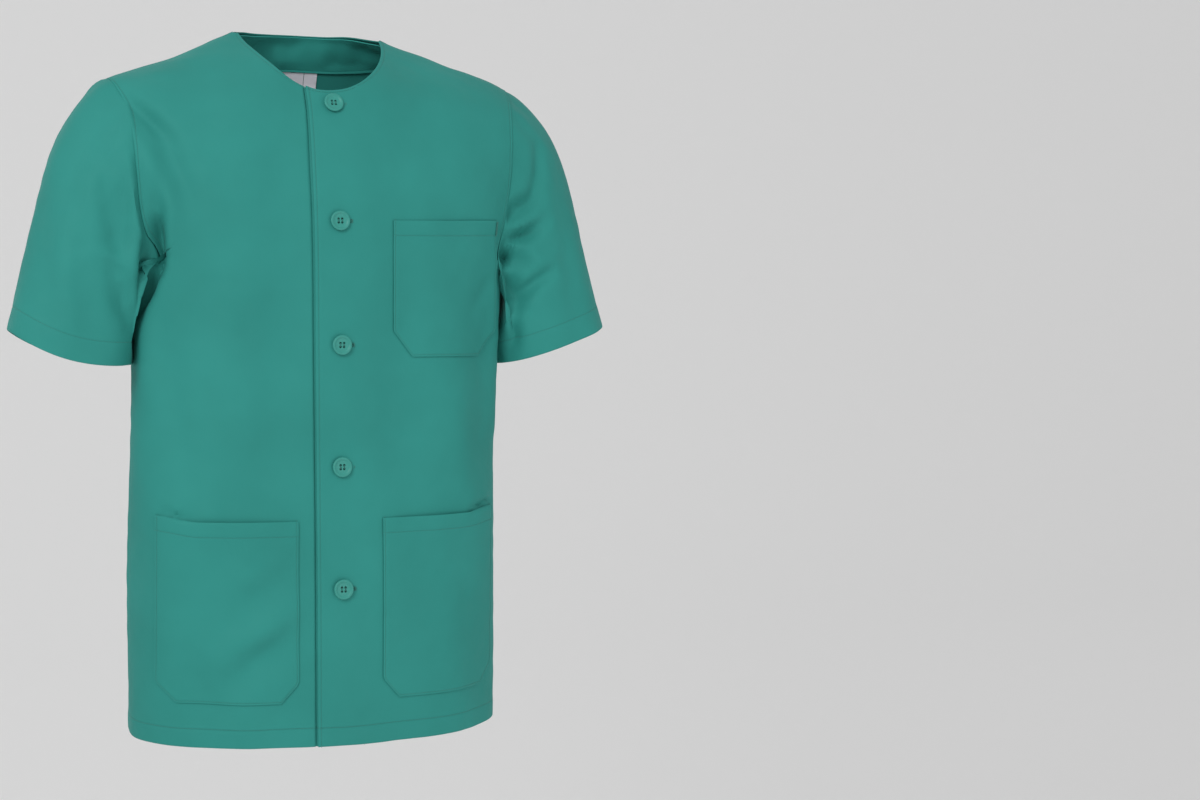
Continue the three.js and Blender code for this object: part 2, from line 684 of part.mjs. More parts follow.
// Four-hole button: a turned disc with a raised rim and a dished face
function buttonPiece() {
  const r = BUTTON_RADIUS;
  const t = BUTTON_THICKNESS;
  const outline = [
    [0, 0],
    [r * 0.72, 0],
    [r, t * 0.35],
    [r, t * 0.75],
    [r * 0.92, t],
    [r * 0.78, t],
    [r * 0.62, t * 0.62],
    [0, t * 0.55],
  ].map(([x, y]) => new THREE.Vector2(x, y));
  const { radius, fromCentre, sides } = BUTTON_HOLES;
  let disc = solidOf(new THREE.LatheGeometry(outline, BUTTON_SIDES));
  for (const x of [-fromCentre, fromCentre]) {
    for (const z of [-fromCentre, fromCentre]) {
      const hole = new THREE.CylinderGeometry(radius, radius, 4 * t, sides);
      disc = disc.subtract(solidOf(hole.translate(x, 0, z)));
    }
  }
  return geometryOf(disc);
}

function solidOf(geometry) {
  const nearby = 1e-4;
  geometry.deleteAttribute("normal");
  geometry.deleteAttribute("uv");
  const merged = mergeVertices(geometry, nearby);
  const vertProperties = new Float32Array(merged.getAttribute("position").array);
  const triVerts = new Uint32Array(merged.getIndex().array);
  const solid = new wasm.Manifold(new wasm.Mesh({ numProp: 3, vertProperties, triVerts }));
  if (solid.volume() >= 0) return solid;
  return new wasm.Manifold(new wasm.Mesh({ numProp: 3, vertProperties, triVerts: triVerts.reverse() }));
}

function geometryOf(solid) {
  const mesh = solid.getMesh();
  const geometry = new THREE.BufferGeometry();
  geometry.setAttribute("position", new THREE.Float32BufferAttribute(mesh.vertProperties, 3));
  geometry.setIndex(Array.from(mesh.triVerts));
  return geometry;
}

const tunic = new THREE.Group();

function addPiece(name, geometry, finish) {
  const mesh = new THREE.Mesh(geometry, new THREE.MeshStandardMaterial(finish));
  mesh.name = name;
  tunic.add(mesh);
  return mesh;
}

const fronts = { right: frontPiece(true, 0), left: frontPiece(false, CLOTH + LAP_GAP) };
addPiece("front_right", fronts.right.geometry, FINISHES.cloth);
addPiece("front_left", fronts.left.geometry, FINISHES.cloth);
addPiece("back", backPiece(), FINISHES.cloth);
addPiece("sleeve_right", sleevePiece("right"), FINISHES.cloth);
addPiece("sleeve_left", sleevePiece("left"), FINISHES.cloth);
addPiece("neck_facing", facingPiece(), FINISHES.inside);
for (const label of LABELS) addPiece(label.name, labelPiece(label), FINISHES.label);
for (const pocket of POCKETS) {
  const front = pocket.innerX < 0 ? fronts.right : fronts.left;
  addPiece(pocket.name, pocketPiece(pocket, front.body), FINISHES.cloth);
}

const lap = fronts.left.lap;
const lapMiddle = [lap.outer.length / 3, FRONT_COLUMNS.lap / 2];
BUTTON_HEIGHTS.forEach((z, k) => {
  const button = addPiece(`button_${k + 1}`, buttonPiece(), FINISHES.button);
  const [row, column] = locate(lap, 0, z, lapMiddle);
  const seat = pointOnPiece(lap, row, column, BUTTON_GAP);
  const out = pointOnPiece(lap, row, column, 1).sub(pointOnPiece(lap, row, column, 0));
  button.position.copy(seat);
  button.quaternion.setFromUnitVectors(new THREE.Vector3(0, 1, 0), out.normalize());
});

export default tunic;
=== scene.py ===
# Short-sleeved, round-necked scrub tunic of plain-woven polyester and cotton, filled out as when worn.
# Metres. +Z is up, the wearer faces -Y and +X is the wearer's left.

import math

import bmesh
import bpy
import numpy as np
from mathutils import Matrix, Vector


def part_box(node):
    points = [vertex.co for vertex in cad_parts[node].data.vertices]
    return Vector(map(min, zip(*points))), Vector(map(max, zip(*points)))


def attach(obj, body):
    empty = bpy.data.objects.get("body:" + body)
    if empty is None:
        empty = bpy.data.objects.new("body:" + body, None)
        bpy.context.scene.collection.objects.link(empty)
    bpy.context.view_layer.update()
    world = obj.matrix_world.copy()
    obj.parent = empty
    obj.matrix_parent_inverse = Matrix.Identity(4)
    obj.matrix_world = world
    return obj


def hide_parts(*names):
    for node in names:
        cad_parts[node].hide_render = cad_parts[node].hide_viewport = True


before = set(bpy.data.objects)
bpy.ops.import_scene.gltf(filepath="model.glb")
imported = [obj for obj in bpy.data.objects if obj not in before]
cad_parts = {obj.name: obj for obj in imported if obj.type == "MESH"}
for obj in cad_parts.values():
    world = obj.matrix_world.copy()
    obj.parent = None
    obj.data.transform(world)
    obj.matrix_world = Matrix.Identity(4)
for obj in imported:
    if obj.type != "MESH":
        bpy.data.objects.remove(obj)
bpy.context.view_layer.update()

# Back
# One cut piece of plain cloth that wraps the wearer's back and shoulder blades from side seam to
# side seam. It has no yoke and no centre seam, and hangs in long soft folds from the shoulders.

CLOTH = 0.001  # a double layer at the hems shows at about this thickness
HEM_Z = -0.736
UNDERARM_Z = -0.262
SHOULDER_TIP_Z = -0.058
NECK_HALF = 0.079
SHOULDER_HALF = 0.220
BACK_NECK_RISE = 0.009
HEM_DEPTH = 0.018  # from the fold of the hem up to its stitching
SEAM_GAP = 0.0003
TOPSTITCH = 0.006  # from the armhole and shoulder seams to the row of stitches beside them
NECK_STITCH = 0.003
LEFT_SHOULDER_LIFT = 0.006  # the wearer's left shoulder is held a little higher
LIFT_Z = (-0.330, -0.110)  # the lift starts at the first height and is full at the second
BACK_COLUMNS = 92  # between the fine ones at both side seams


def table(names, rows):
    """Columns of a table, each under its name"""
    return dict(zip(names.split(), np.array(rows, float).T))


# Horizontal sections of the worn body, from the neck down: half the width, the depths in front of
# and behind the side line, the y of that line, and how square the section is (2 is an ellipse)
SECTION = table("z half front back middle square", [
    (0.014, 0.048, 0.010, 0.046, 0.001, 2.1),
    (0.000, 0.079, 0.016, 0.056, 0.001, 2.1),
    (-0.026, 0.142, 0.050, 0.070, 0.001, 2.15),
    (-0.058, 0.220, 0.076, 0.086, -0.003, 2.3),
    (-0.082, 0.246, 0.087, 0.096, -0.008, 2.5),
    (-0.112, 0.253, 0.091, 0.105, -0.014, 2.7),
    (-0.150, 0.246, 0.091, 0.115, -0.021, 2.8),
    (-0.200, 0.225, 0.091, 0.123, -0.028, 2.6),
    (-0.252, 0.206, 0.090, 0.127, -0.032, 2.4),
    (-0.340, 0.197, 0.090, 0.126, -0.034, 2.3),
    (-0.460, 0.198, 0.098, 0.118, -0.030, 2.28),
    (-0.590, 0.199, 0.109, 0.112, -0.023, 2.28),
    (-0.740, 0.199, 0.114, 0.110, -0.019, 2.28),
])

# How far from the centre the armhole runs, in front and behind
ARMHOLE = table("z front back", [
    (-0.058, 0.220, 0.220),
    (-0.074, 0.215, 0.217),
    (-0.095, 0.209, 0.213),
    (-0.125, 0.205, 0.209),
    (-0.160, 0.202, 0.206),
    (-0.195, 0.198, 0.203),
    (-0.222, 0.192, 0.200),
    (-0.240, 0.186, 0.199),
    (-0.251, 0.186, 0.199),
    (-0.258, 0.193, 0.201),
    (-0.262, 0.205, 0.205),
])

# Folds of the body, on the front (side -1) or the back (side 1). Each runs from one point to
# another, bows aside by its bend, is width wide to each side, and proud or, if negative, deep.
BODY_FOLDS = [
    # side, x, z, to x, to z, bend, width, height
    (-1, -0.216, -0.074, -0.170, -0.124, 0.002, 0.009, -0.0090),
    (-1, -0.190, -0.112, -0.150, -0.196, -0.004, 0.015, -0.0080),
    (-1, -0.196, -0.128, -0.172, -0.200, 0.000, 0.010, 0.0030),
    (-1, -0.206, -0.098, -0.192, -0.124, 0.002, 0.005, -0.0024),
    (-1, -0.182, -0.172, -0.182, -0.226, 0.000, 0.009, -0.0065),
    (-1, -0.184, -0.212, -0.181, -0.256, 0.000, 0.0075, -0.0200),
    (-1, -0.181, -0.248, -0.199, -0.300, 0.000, 0.0075, -0.0190),
    (-1, -0.192, -0.300, -0.194, -0.380, 0.000, 0.012, 0.0080),
    (-1, -0.118, -0.255, -0.104, -0.450, 0.008, 0.034, 0.0050),
    (-1, -0.062, -0.150, -0.070, -0.470, -0.006, 0.030, -0.0045),
    (-1, -0.160, -0.300, -0.150, -0.470, 0.010, 0.016, -0.0025),
    (-1, -0.047, -0.596, -0.115, -0.648, 0.000, 0.014, 0.0040),
    (-1, -0.056, -0.562, -0.106, -0.602, 0.000, 0.018, -0.0050),
    (-1, -0.060, -0.630, -0.122, -0.681, 0.003, 0.018, -0.0065),
    (-1, -0.150, -0.650, -0.138, -0.702, 0.000, 0.018, -0.0030),
    (-1, -0.176, -0.500, -0.152, -0.507, 0.000, 0.0035, -0.0040),
    (-1, -0.092, -0.690, -0.086, -0.736, 0.000, 0.022, 0.0030),
    (-1, 0.062, -0.255, 0.078, -0.470, 0.006, 0.030, -0.0042),
    (-1, 0.122, -0.380, 0.150, -0.500, 0.004, 0.022, 0.0040),
    (-1, 0.192, -0.235, 0.135, -0.205, 0.003, 0.013, -0.0030),
    (-1, 0.186, -0.262, 0.150, -0.300, 0.003, 0.010, -0.0018),
    (-1, 0.189, -0.236, 0.190, -0.420, 0.000, 0.014, 0.0075),
    (-1, 0.150, -0.507, 0.184, -0.499, 0.000, 0.0045, -0.0060),
    (-1, 0.110, -0.560, 0.128, -0.735, 0.005, 0.030, 0.0030),
    (1, 0.112, -0.190, 0.092, -0.560, 0.008, 0.034, 0.0055),
    (1, 0.052, -0.210, 0.040, -0.600, -0.006, 0.030, -0.0045),
    (1, -0.104, -0.180, -0.146, -0.470, -0.010, 0.024, -0.0070),
    (1, -0.060, -0.300, -0.085, -0.640, 0.006, 0.030, 0.0045),
    (1, 0.178, -0.215, 0.146, -0.330, 0.004, 0.014, -0.0070),
    (1, -0.186, -0.215, -0.158, -0.310, 0.004, 0.013, -0.0060),
    (1, 0.190, -0.150, 0.176, -0.225, 0.003, 0.010, -0.0050),
    (1, -0.192, -0.140, -0.176, -0.215, 0.003, 0.010, -0.0045),
    (1, 0.150, -0.400, 0.146, -0.640, 0.006, 0.020, -0.0035),
]
FOLD_END = 0.45  # share of the height that is left where a fold ends
FOLD_TROUGH = 0.3  # the shallow dip to each side of a fold, as a share of its height
FOLD_GAIN = 1.25  # makes up at the crest for what the dip takes


def mix(a, b, t):
    return a + (b - a) * t


def smooth(start, end, value):
    t = np.clip((value - start) / (end - start), 0, 1)
    return t * t * (3 - 2 * t)


def signed_power(value, power):
    return np.sign(value) * np.abs(value) ** power


def read(rows, z, name):
    """Smooth curve through one column of a table whose heights fall"""
    z = np.asarray(z, float)
    heights, values = rows["z"], rows[name]
    last = len(heights) - 1
    i = (z[..., None] < heights[1:-1]).sum(-1)
    above = np.maximum(np.arange(last + 1) - 1, 0)
    below = np.minimum(np.arange(last + 1) + 1, last)
    slope = (values[below] - values[above]) / (heights[below] - heights[above])
    span = heights[i + 1] - heights[i]
    t = (z - heights[i]) / span
    return (
        (2 * t**3 - 3 * t**2 + 1) * values[i]
        + (t**3 - 2 * t**2 + t) * span * slope[i]
        + (3 * t**2 - 2 * t**3) * values[i + 1]
        + (t**3 - t**2) * span * slope[i + 1]
    )


def plain_body(angle, z):
    """Points of the body without folds. The angle is 0 at the wearer's left side, -90 degrees in front."""
    power = 2 / read(SECTION, z, "square")
    depth = np.where(np.sin(angle) < 0, read(SECTION, z, "front"), read(SECTION, z, "back"))
    x = read(SECTION, z, "half") * signed_power(np.cos(angle), power)
    y = read(SECTION, z, "middle") + depth * signed_power(np.sin(angle), power)
    lift = LEFT_SHOULDER_LIFT * (x > 0) * smooth(NECK_HALF, SHOULDER_HALF, np.abs(x)) * smooth(*LIFT_Z, z)
    return np.stack(np.broadcast_arrays(x, y, z + lift), -1)


def unit(vectors):
    return vectors / np.maximum(np.linalg.norm(vectors, axis=-1, keepdims=True), 1e-12)


def body_normal(angle, z):
    across = plain_body(angle + 0.004, z) - plain_body(angle - 0.004, z)
    up = plain_body(angle, z + 0.0005) - plain_body(angle, z - 0.0005)
    return unit(np.cross(across, up))


def folded(folds, x, z, facing):
    """Height of a table of folds at points that face forwards (negative) or backwards"""
    height = np.zeros_like(x)
    for side, from_x, from_z, to_x, to_z, bend, width, proud in folds:
        along_x, along_z = to_x - from_x, to_z - from_z
        length = math.hypot(along_x, along_z)
        t = ((x - from_x) * along_x + (z - from_z) * along_z) / length**2
        inside = np.clip(t, 0, 1)
        across = ((x - from_x) * along_z - (z - from_z) * along_x) / length - bend * 4 * inside * (1 - inside)
        beyond = np.abs(t - inside) * length
        strength = np.exp(-((beyond / width) ** 2)) * (FOLD_END + (1 - FOLD_END) * np.sin(math.pi * inside))
        u = across / width
        shape = np.exp(-u * u) - FOLD_TROUGH * np.exp(-((u / 2) ** 2))
        height += proud * FOLD_GAIN * strength * shape * smooth(0, 0.35, facing * side)
    return height


def rumple(points, size, seed):
    """Even, endless unevenness of about one unit, from waves about one size long"""
    chance = np.random.default_rng(seed)
    waves = 16
    total = np.zeros(points.shape[:-1])
    for _ in range(waves):
        way = chance.normal(size=3)
        way *= chance.uniform(0.6, 1.5) / (size * np.linalg.norm(way))
        total += np.sin(2 * math.pi * (points @ way) + chance.uniform(0, 2 * math.pi))
    return total / math.sqrt(waves / 2)


def unevenness(points):
    """The slight waviness that plain cloth keeps after pressing"""
    long = points * np.array([1, 1, 0.35])  # hanging cloth waves more across than down
    return 0.0009 * rumple(long, 0.075, 3) + 0.00014 * rumple(points, 0.024, 8)


def body_surface(angle, z, relief=0.0):
    """Points and outward directions of the folded body, moved out by a relief"""
    points = plain_body(angle, z)
    out = body_normal(angle, z)
    height = folded(BODY_FOLDS, points[..., 0], points[..., 2], np.sin(angle)) + unevenness(points)
    return points + out * (height + relief)[..., None], out


def angle_at(x, z, side):
    """Angle on the front (side -1) or back (side 1) of the body at a distance x from the centre"""
    share = np.minimum(np.abs(x) / read(SECTION, z, "half"), 1)
    angle = np.arccos(share ** (read(SECTION, z, "square") / 2))
    return side * np.where(x < 0, math.pi - angle, angle)


# A row of a body piece is known by a number: 0 at the hem, 1 at the underarm, 2 at the shoulder
# tip and 3 at the neck. It meets the side seam, the armhole or the shoulder seam at seam_z.
SHOULDER_SEAM_Z = [-0.058, -0.049, -0.040, -0.031, -0.022, -0.014, -0.007, -0.0015]


def even_z(row):
    return np.interp(row, [0, 1, 2, 3], [HEM_Z, UNDERARM_Z, SHOULDER_TIP_Z, SHOULDER_SEAM_Z[-1]])


def armhole_run(side):
    """Heights down the armhole, and the share of its length at each, from the underarm up"""
    z = mix(UNDERARM_Z, SHOULDER_TIP_Z, np.linspace(0, 1, 400) ** 2)
    points = plain_body(angle_at(read(ARMHOLE, z, "front" if side < 0 else "back"), z, side), z)
    run = np.concatenate([[0], np.cumsum(np.linalg.norm(np.diff(points, axis=0), axis=1))])
    return z, run / run[-1]


ARMHOLE_Z, ARMHOLE_SHARE = armhole_run(-1)


def seam_z(row):
    hem_part = even_z(row)
    armhole_part = np.interp(row - 1, ARMHOLE_SHARE, ARMHOLE_Z)
    shoulder_part = np.interp(row - 2, np.linspace(0, 1, len(SHOULDER_SEAM_Z)), SHOULDER_SEAM_Z)
    return np.where(row <= 1, hem_part, np.where(row <= 2, armhole_part, shoulder_part))


SEAM_MEETING = 0.000001  # front and back meet in the side seam; this only tells the two apart


def seam_angle(row, side):
    """Angle from the side line of the seam that bounds a body piece"""
    z = seam_z(row)
    on_armhole = angle_at(read(ARMHOLE, z, "front" if side < 0 else "back"), z, side)
    return np.where((row <= 1) | (row >= 2), side * SEAM_MEETING, on_armhole)


def steps(fine, coarse, length):
    """Distances from an edge: the fine ones first, then even steps up to a length"""
    rest = length - fine[-1]
    count = max(1, round(rest / coarse))
    return np.concatenate([fine, fine[-1] + rest * np.arange(1, count + 1) / count])


# Distances of the fine rows and columns from a hem, a neck edge and a seam
HEM_ROWS = [0, 0.0008, 0.002, 0.005, 0.009, 0.0135, 0.016, 0.0171, HEM_DEPTH, 0.0189, 0.020, 0.0225, 0.027]
NECK_BASE = 1.77  # the lapped edges of the fronts meet the neck on this row
NECK_EDGE = [0, 0.0007, 0.0015, 0.0023, NECK_STITCH, 0.0037, 0.0046, 0.006, 0.009]
SEAM_EDGE = [0, 0.0006, 0.0014, 0.003, 0.0046, 0.0054, TOPSTITCH, 0.0066, 0.0075, 0.010]
HEM_SHARE = UNDERARM_Z - HEM_Z
LAP_LENGTH = 0.674  # from the hem to the neck down the lapped edge

ROWS = np.unique(np.round(np.concatenate([
    steps(HEM_ROWS, 0.0048, HEM_SHARE) / HEM_SHARE,
    np.linspace(1, NECK_BASE - 0.05, 40),
    NECK_BASE - np.array(NECK_EDGE) * (NECK_BASE - 1) / (LAP_LENGTH - HEM_SHARE),
    np.linspace(NECK_BASE, 2, 10),
    np.linspace(2, 2.92, 30),
    3 - np.array([0, 0.006, 0.013, 0.020, 0.026, 0.032, 0.040, 0.055]),
]), 6))
HEM_STITCH_ROW = int(np.argmin(np.abs(ROWS - HEM_DEPTH / HEM_SHARE)))
NECK_BASE_ROW = int(np.argmin(np.abs(ROWS - NECK_BASE)))
UNDERARM_ROW = int(np.argmin(np.abs(ROWS - 1)))
TIP_ROW = int(np.argmin(np.abs(ROWS - 2)))
ROUGH_SHARES = np.linspace(0, 1, 60)[None, :]  # enough places to measure a row by


def spread(length, first, last, count):
    """Shares of each row's length at which its columns stand: fine ones at both ends, count between"""
    length = np.asarray(length, float)[:, None]
    first, last = np.array(first), np.array(last)
    squeeze = np.minimum(1, 0.8 * length / (first[-1] + last[-1] + 1e-9))  # where a row is short
    left = first * squeeze / length
    right = 1 - last[::-1] * squeeze / length
    middle = mix(left[:, -1:], right[:, :1], np.linspace(0, 1, count + 2)[None, 1:-1])
    return np.concatenate([left, middle, right], axis=1)


def row_lengths(points):
    return np.linalg.norm(np.diff(points, axis=1), axis=2).sum(axis=1)


def stitched(distance, stitch, swell=0.0003, dip=0.00045):
    """Relief of a folded edge: rounded at the fold, full up to its stitching and drawn in along it"""
    full = swell * smooth(-0.0004, 0.0012, distance) * (1 - smooth(stitch, stitch + 0.0035, distance))
    rounding = -0.0004 * (1 - smooth(0, 0.0012, distance))
    return full + rounding - dip * np.exp(-(((distance - stitch) / 0.0009) ** 2))


def seamed(distance, topstitched):
    """Relief beside a seam: a groove at the seam and, where it is topstitched, a raised band"""
    groove = -0.0004 * np.exp(-((distance / 0.0013) ** 2))
    return groove + topstitched * stitched(distance + 0.0001, TOPSTITCH, 0.0004, 0.0005)


def column_runs(points):
    """Distance of each point of a grid from the first one of its column"""
    lengths = np.linalg.norm(np.diff(points, axis=0), axis=2)
    return np.concatenate([np.zeros((1, points.shape[1])), np.cumsum(lengths, axis=0)])


def from_top(points):
    """Distance of each point of a grid from the last one of its column"""
    return column_runs(points[::-1])[::-1]


def weave_run(points):
    """Distances along the rows and up the columns of a grid, which the weave follows"""
    across = column_runs(points.swapaxes(0, 1)).T
    return np.stack([across - across[:, -1:] / 2, column_runs(points)], -1)


def placed(name, data):
    """New object in the scene"""
    thing = bpy.data.objects.new(name, data)
    bpy.context.scene.collection.objects.link(thing)
    return thing


def sewn_sheet(name, grids, material, thickness=CLOTH, ring=False):
    """One piece of cloth from grids of points that face outwards, joined where they share points"""
    places, faces, runs = [], [], []
    for points in grids:
        rows, columns = points.shape[:2]
        start = sum(len(p) for p in places)
        run = weave_run(points)
        steps_round = columns if ring else columns - 1
        for i in range(rows - 1):
            for j in range(steps_round):
                k = (j + 1) % columns
                a, b = start + i * columns, start + (i + 1) * columns
                faces.append((a + j, a + k, b + k, b + j))
        places.append(points.reshape(-1, 3))
        runs.append(run.reshape(-1, 2))
    places, runs = np.concatenate(places), np.concatenate(runs)
    mesh = bpy.data.meshes.new(name)
    mesh.from_pydata(places.tolist(), [], faces)
    layer = mesh.uv_layers.new(name="Weave")
    corners = np.zeros(len(mesh.loops), int)
    mesh.loops.foreach_get("vertex_index", corners)
    layer.data.foreach_set("uv", runs[corners].ravel())
    work = bmesh.new()
    work.from_mesh(mesh)
    bmesh.ops.remove_doubles(work, verts=work.verts, dist=2e-6)
    bmesh.ops.dissolve_degenerate(work, edges=work.edges, dist=1e-7)
    work.to_mesh(mesh)
    work.free()
    mesh.shade_smooth()
    mesh.materials.append(material)
    piece = placed(name, mesh)
    wall = piece.modifiers.new("Cloth thickness", "SOLIDIFY")
    wall.thickness = thickness
    wall.offset = -1
    wall.use_rim = True
    edges = piece.modifiers.new("Folded edges", "EDGE_SPLIT")
    edges.split_angle = math.radians(60)
    return piece


def linear(hex_colour):
    """Linear colour of an sRGB hex value"""
    parts = [int(hex_colour[i : i + 2], 16) / 255 for i in (1, 3, 5)]
    return tuple(c / 12.92 if c <= 0.04045 else ((c + 0.055) / 1.055) ** 2.4 for c in parts) + (1.0,)


def add(tree, kind, values=None, **settings):
    """Adds a node with its settings, and gives its inputs a value or another node's output"""
    new = tree.nodes.new(kind)
    for key, value in settings.items():
        setattr(new, key, value)
    for key, value in (values or {}).items():
        if isinstance(value, bpy.types.NodeSocket):
            tree.links.new(value, new.inputs[key])
        else:
            new.inputs[key].default_value = value
    return new


def empty_material(name):
    """New material and its node tree, with nothing in it"""
    material = bpy.data.materials.new(name)
    material.use_nodes = True
    material.node_tree.nodes.clear()
    return material, material.node_tree


def surfaced(tree, values):
    """Ends a material with a surface that has these values"""
    surface = add(tree, "ShaderNodeBsdfPrincipled", values)
    add(tree, "ShaderNodeOutputMaterial", {"Surface": surface.outputs[0]})


def grain(tree, scale, detail):
    """Unevenness through the object, finer with a larger scale"""
    place = add(tree, "ShaderNodeTexCoord").outputs["Object"]
    return add(tree, "ShaderNodeTexNoise", {"Vector": place, "Scale": scale, "Detail": detail}).outputs[0]


def blend(tree, share, colour, other):
    """Colour between two hex values, by the share that another node gives"""
    values = {0: share, 6: linear(colour), 7: linear(other)}
    return add(tree, "ShaderNodeMix", values, data_type="RGBA").outputs[2]


def ranged(tree, value, **ends):
    """Value of another node, brought from one range to another"""
    named = {name.replace("_", " ").title(): end for name, end in ends.items()}
    return add(tree, "ShaderNodeMapRange", {"Value": value, **named}).outputs[0]


def bump(tree, height, strength, distance, **normal):
    """Normals of a fine relief, on top of those of a coarser one where it is given"""
    relief = {"Strength": strength, "Distance": distance, "Height": height}
    return add(tree, "ShaderNodeBump", {**relief, **normal}).outputs[0]


# Polyester and cotton poplin, plain-woven, piece-dyed and pressed: matt with a faint silky sheen,
# and very fine threads. The weave is drawn at 1.1 mm, about three times its real size, to show.
CLOTH_COLOUR = "#2F8A82"
CLOTH_SHADE = "#2B827A"
THREAD_PITCH = 0.0011


def poplin(name, colour=CLOTH_COLOUR, shade=CLOTH_SHADE):
    material, tree = empty_material(name)
    weave = add(tree, "ShaderNodeUVMap", uv_map="Weave").outputs[0]
    per_metre = {0: weave, "Scale": 2 * math.pi / THREAD_PITCH}
    turns = add(tree, "ShaderNodeVectorMath", per_metre, operation="SCALE")
    parts = add(tree, "ShaderNodeSeparateXYZ", {0: turns.outputs[0]})
    warp = add(tree, "ShaderNodeMath", {0: parts.outputs[0]}, operation="SINE").outputs[0]
    weft = add(tree, "ShaderNodeMath", {0: parts.outputs[1]}, operation="SINE").outputs[0]
    over = add(tree, "ShaderNodeMath", {0: warp, 1: weft}, operation="MULTIPLY").outputs[0]
    slubs, dyeing, pressing = grain(tree, 900, 2), grain(tree, 9, 3), grain(tree, 60, 3)
    colours = blend(tree, ranged(tree, dyeing, from_min=0.3, from_max=0.7), shade, colour)
    dark = ranged(tree, over, from_min=-1, from_max=1, to_min=0.96, to_max=1.03)
    threads = add(tree, "ShaderNodeVectorMath", {0: colours, "Scale": dark}, operation="SCALE")
    height = add(tree, "ShaderNodeMath", {0: slubs, 1: 0.5, 2: over}, operation="MULTIPLY_ADD").outputs[0]
    surfaced(tree, {
        "Base Color": threads.outputs[0],
        "Roughness": ranged(tree, pressing, to_min=0.62, to_max=0.78),
        "IOR": 1.45,
        "Specular IOR Level": 0.18,
        "Sheen Weight": 0.02,
        "Sheen Roughness": 0.4,
        "Normal": bump(tree, pressing, 0.12, 0.0006, Normal=bump(tree, height, 0.10, 0.00012)),
    })
    return material


green_poplin = poplin("Polyester and cotton poplin")


def as_cloth(piece, node):
    """Hangs a cut piece on the root and hides the part of the model that it stands in for"""
    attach(piece, "root")
    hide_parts(node)


stitch_rows = []  # points and outward directions of each row of stitches, sewn on further down


def stitch_along(points, out, lift=0.00012):
    stitch_rows.append((points + out * lift, out))


def grid_directions(points, ring=False):
    """Outward directions of a grid of points"""
    if ring:
        across = np.roll(points, -1, axis=1) - np.roll(points, 1, axis=1)
    else:
        across = np.gradient(points, axis=1)
    return unit(np.cross(across, np.gradient(points, axis=0)))


def back_place(row, share):
    """Angle and height of the back at a row and a share of the way from the left seam to the right"""
    start = seam_angle(row, 1)
    centred = 1 - np.abs(2 * share - 1) ** 3
    rise = BACK_NECK_RISE * smooth(SHOULDER_TIP_Z, SHOULDER_SEAM_Z[-1], seam_z(row)) * centred
    inner = smooth(0, 1, 1 - np.abs(2 * share - 1))
    return mix(start, math.pi - start, share), mix(seam_z(row), even_z(row), inner) + rise


def back_grid():
    row = ROWS[:, None]
    rough, _ = body_surface(*back_place(row, ROUGH_SHARES))
    length = row_lengths(rough)
    share = spread(length, SEAM_EDGE, SEAM_EDGE, BACK_COLUMNS)
    angle, z = back_place(row, share)
    near = np.minimum(share, 1 - share) * length[:, None]
    below_neck = from_top(plain_body(angle, z))
    relief = seamed(near, 0.0) + stitched(z - HEM_Z, HEM_DEPTH) + stitched(below_neck, NECK_STITCH)
    return body_surface(angle, z, relief)[0]


def line_below_top(points, distance):
    """Points of a grid at a distance below its top row"""
    down = from_top(points)[::-1]
    return np.array([
        [np.interp(distance, down[:, j], points[::-1, j, axis]) for axis in range(3)]
        for j in range(points.shape[1])
    ])


back_points = back_grid()
back = sewn_sheet("tunic_back", [back_points], green_poplin)
as_cloth(back, "back")
back_out = grid_directions(back_points)
stitch_along(back_points[HEM_STITCH_ROW], back_out[HEM_STITCH_ROW])
stitch_along(line_below_top(back_points, NECK_STITCH), back_out[-3])  # that row lies nearest to it

# Fronts
# Two cut pieces that button down the centre. Each has its edge folded in twice and stitched, and
# the wearer's left one laps over the right, 26 mm past the centre line.

NECK_DROP = 0.072
NECK_CURVE = 1.4  # more than 1 makes the neck a flatter U
LAP = 0.026
LAP_GAP = 0.0009
LAP_TURN = math.acos(LAP / NECK_HALF)
TOP_TURN = 0.11  # how near the neck curve runs to the shoulder seam before it ends
PLACKET_STITCH = 0.0032
LAP_EDGE = [0, 0.0008, 0.0016, 0.0024, PLACKET_STITCH, 0.004, 0.005, 0.007]
FRONT_COLUMNS = 46
# The lapped edge presses a groove into the front underneath: how deep, where and how wide
PRESSED_DEPTH, PRESSED_PLACE, PRESSED_WIDTH = 0.0022, 0.0007, 0.0008


def front_neck_z(turn):
    return -NECK_DROP * np.abs(np.sin(turn)) ** NECK_CURVE


def front_start(row):
    """Where a row of a front starts: on the lap line, or on the neck above it"""
    share = (even_z(row) - HEM_Z) / (even_z(NECK_BASE) - HEM_Z)
    turn = mix(LAP_TURN, TOP_TURN, np.clip((row - NECK_BASE) / (3 - NECK_BASE), 0, 1))
    on_lap = row <= NECK_BASE
    x = np.where(on_lap, LAP, NECK_HALF * np.cos(turn))
    return x, np.where(on_lap, mix(HEM_Z, front_neck_z(LAP_TURN), share), front_neck_z(turn))


def front_place(row, share):
    x, start_z = front_start(row)
    return mix(angle_at(x, start_z, -1), seam_angle(row, -1), share), mix(start_z, seam_z(row), share**1.5)


def lap_share(x):
    """Share of its stand over the other front that the upper one still has at x"""
    return 1 - smooth(LAP + 0.008, LAP + 0.060, x)


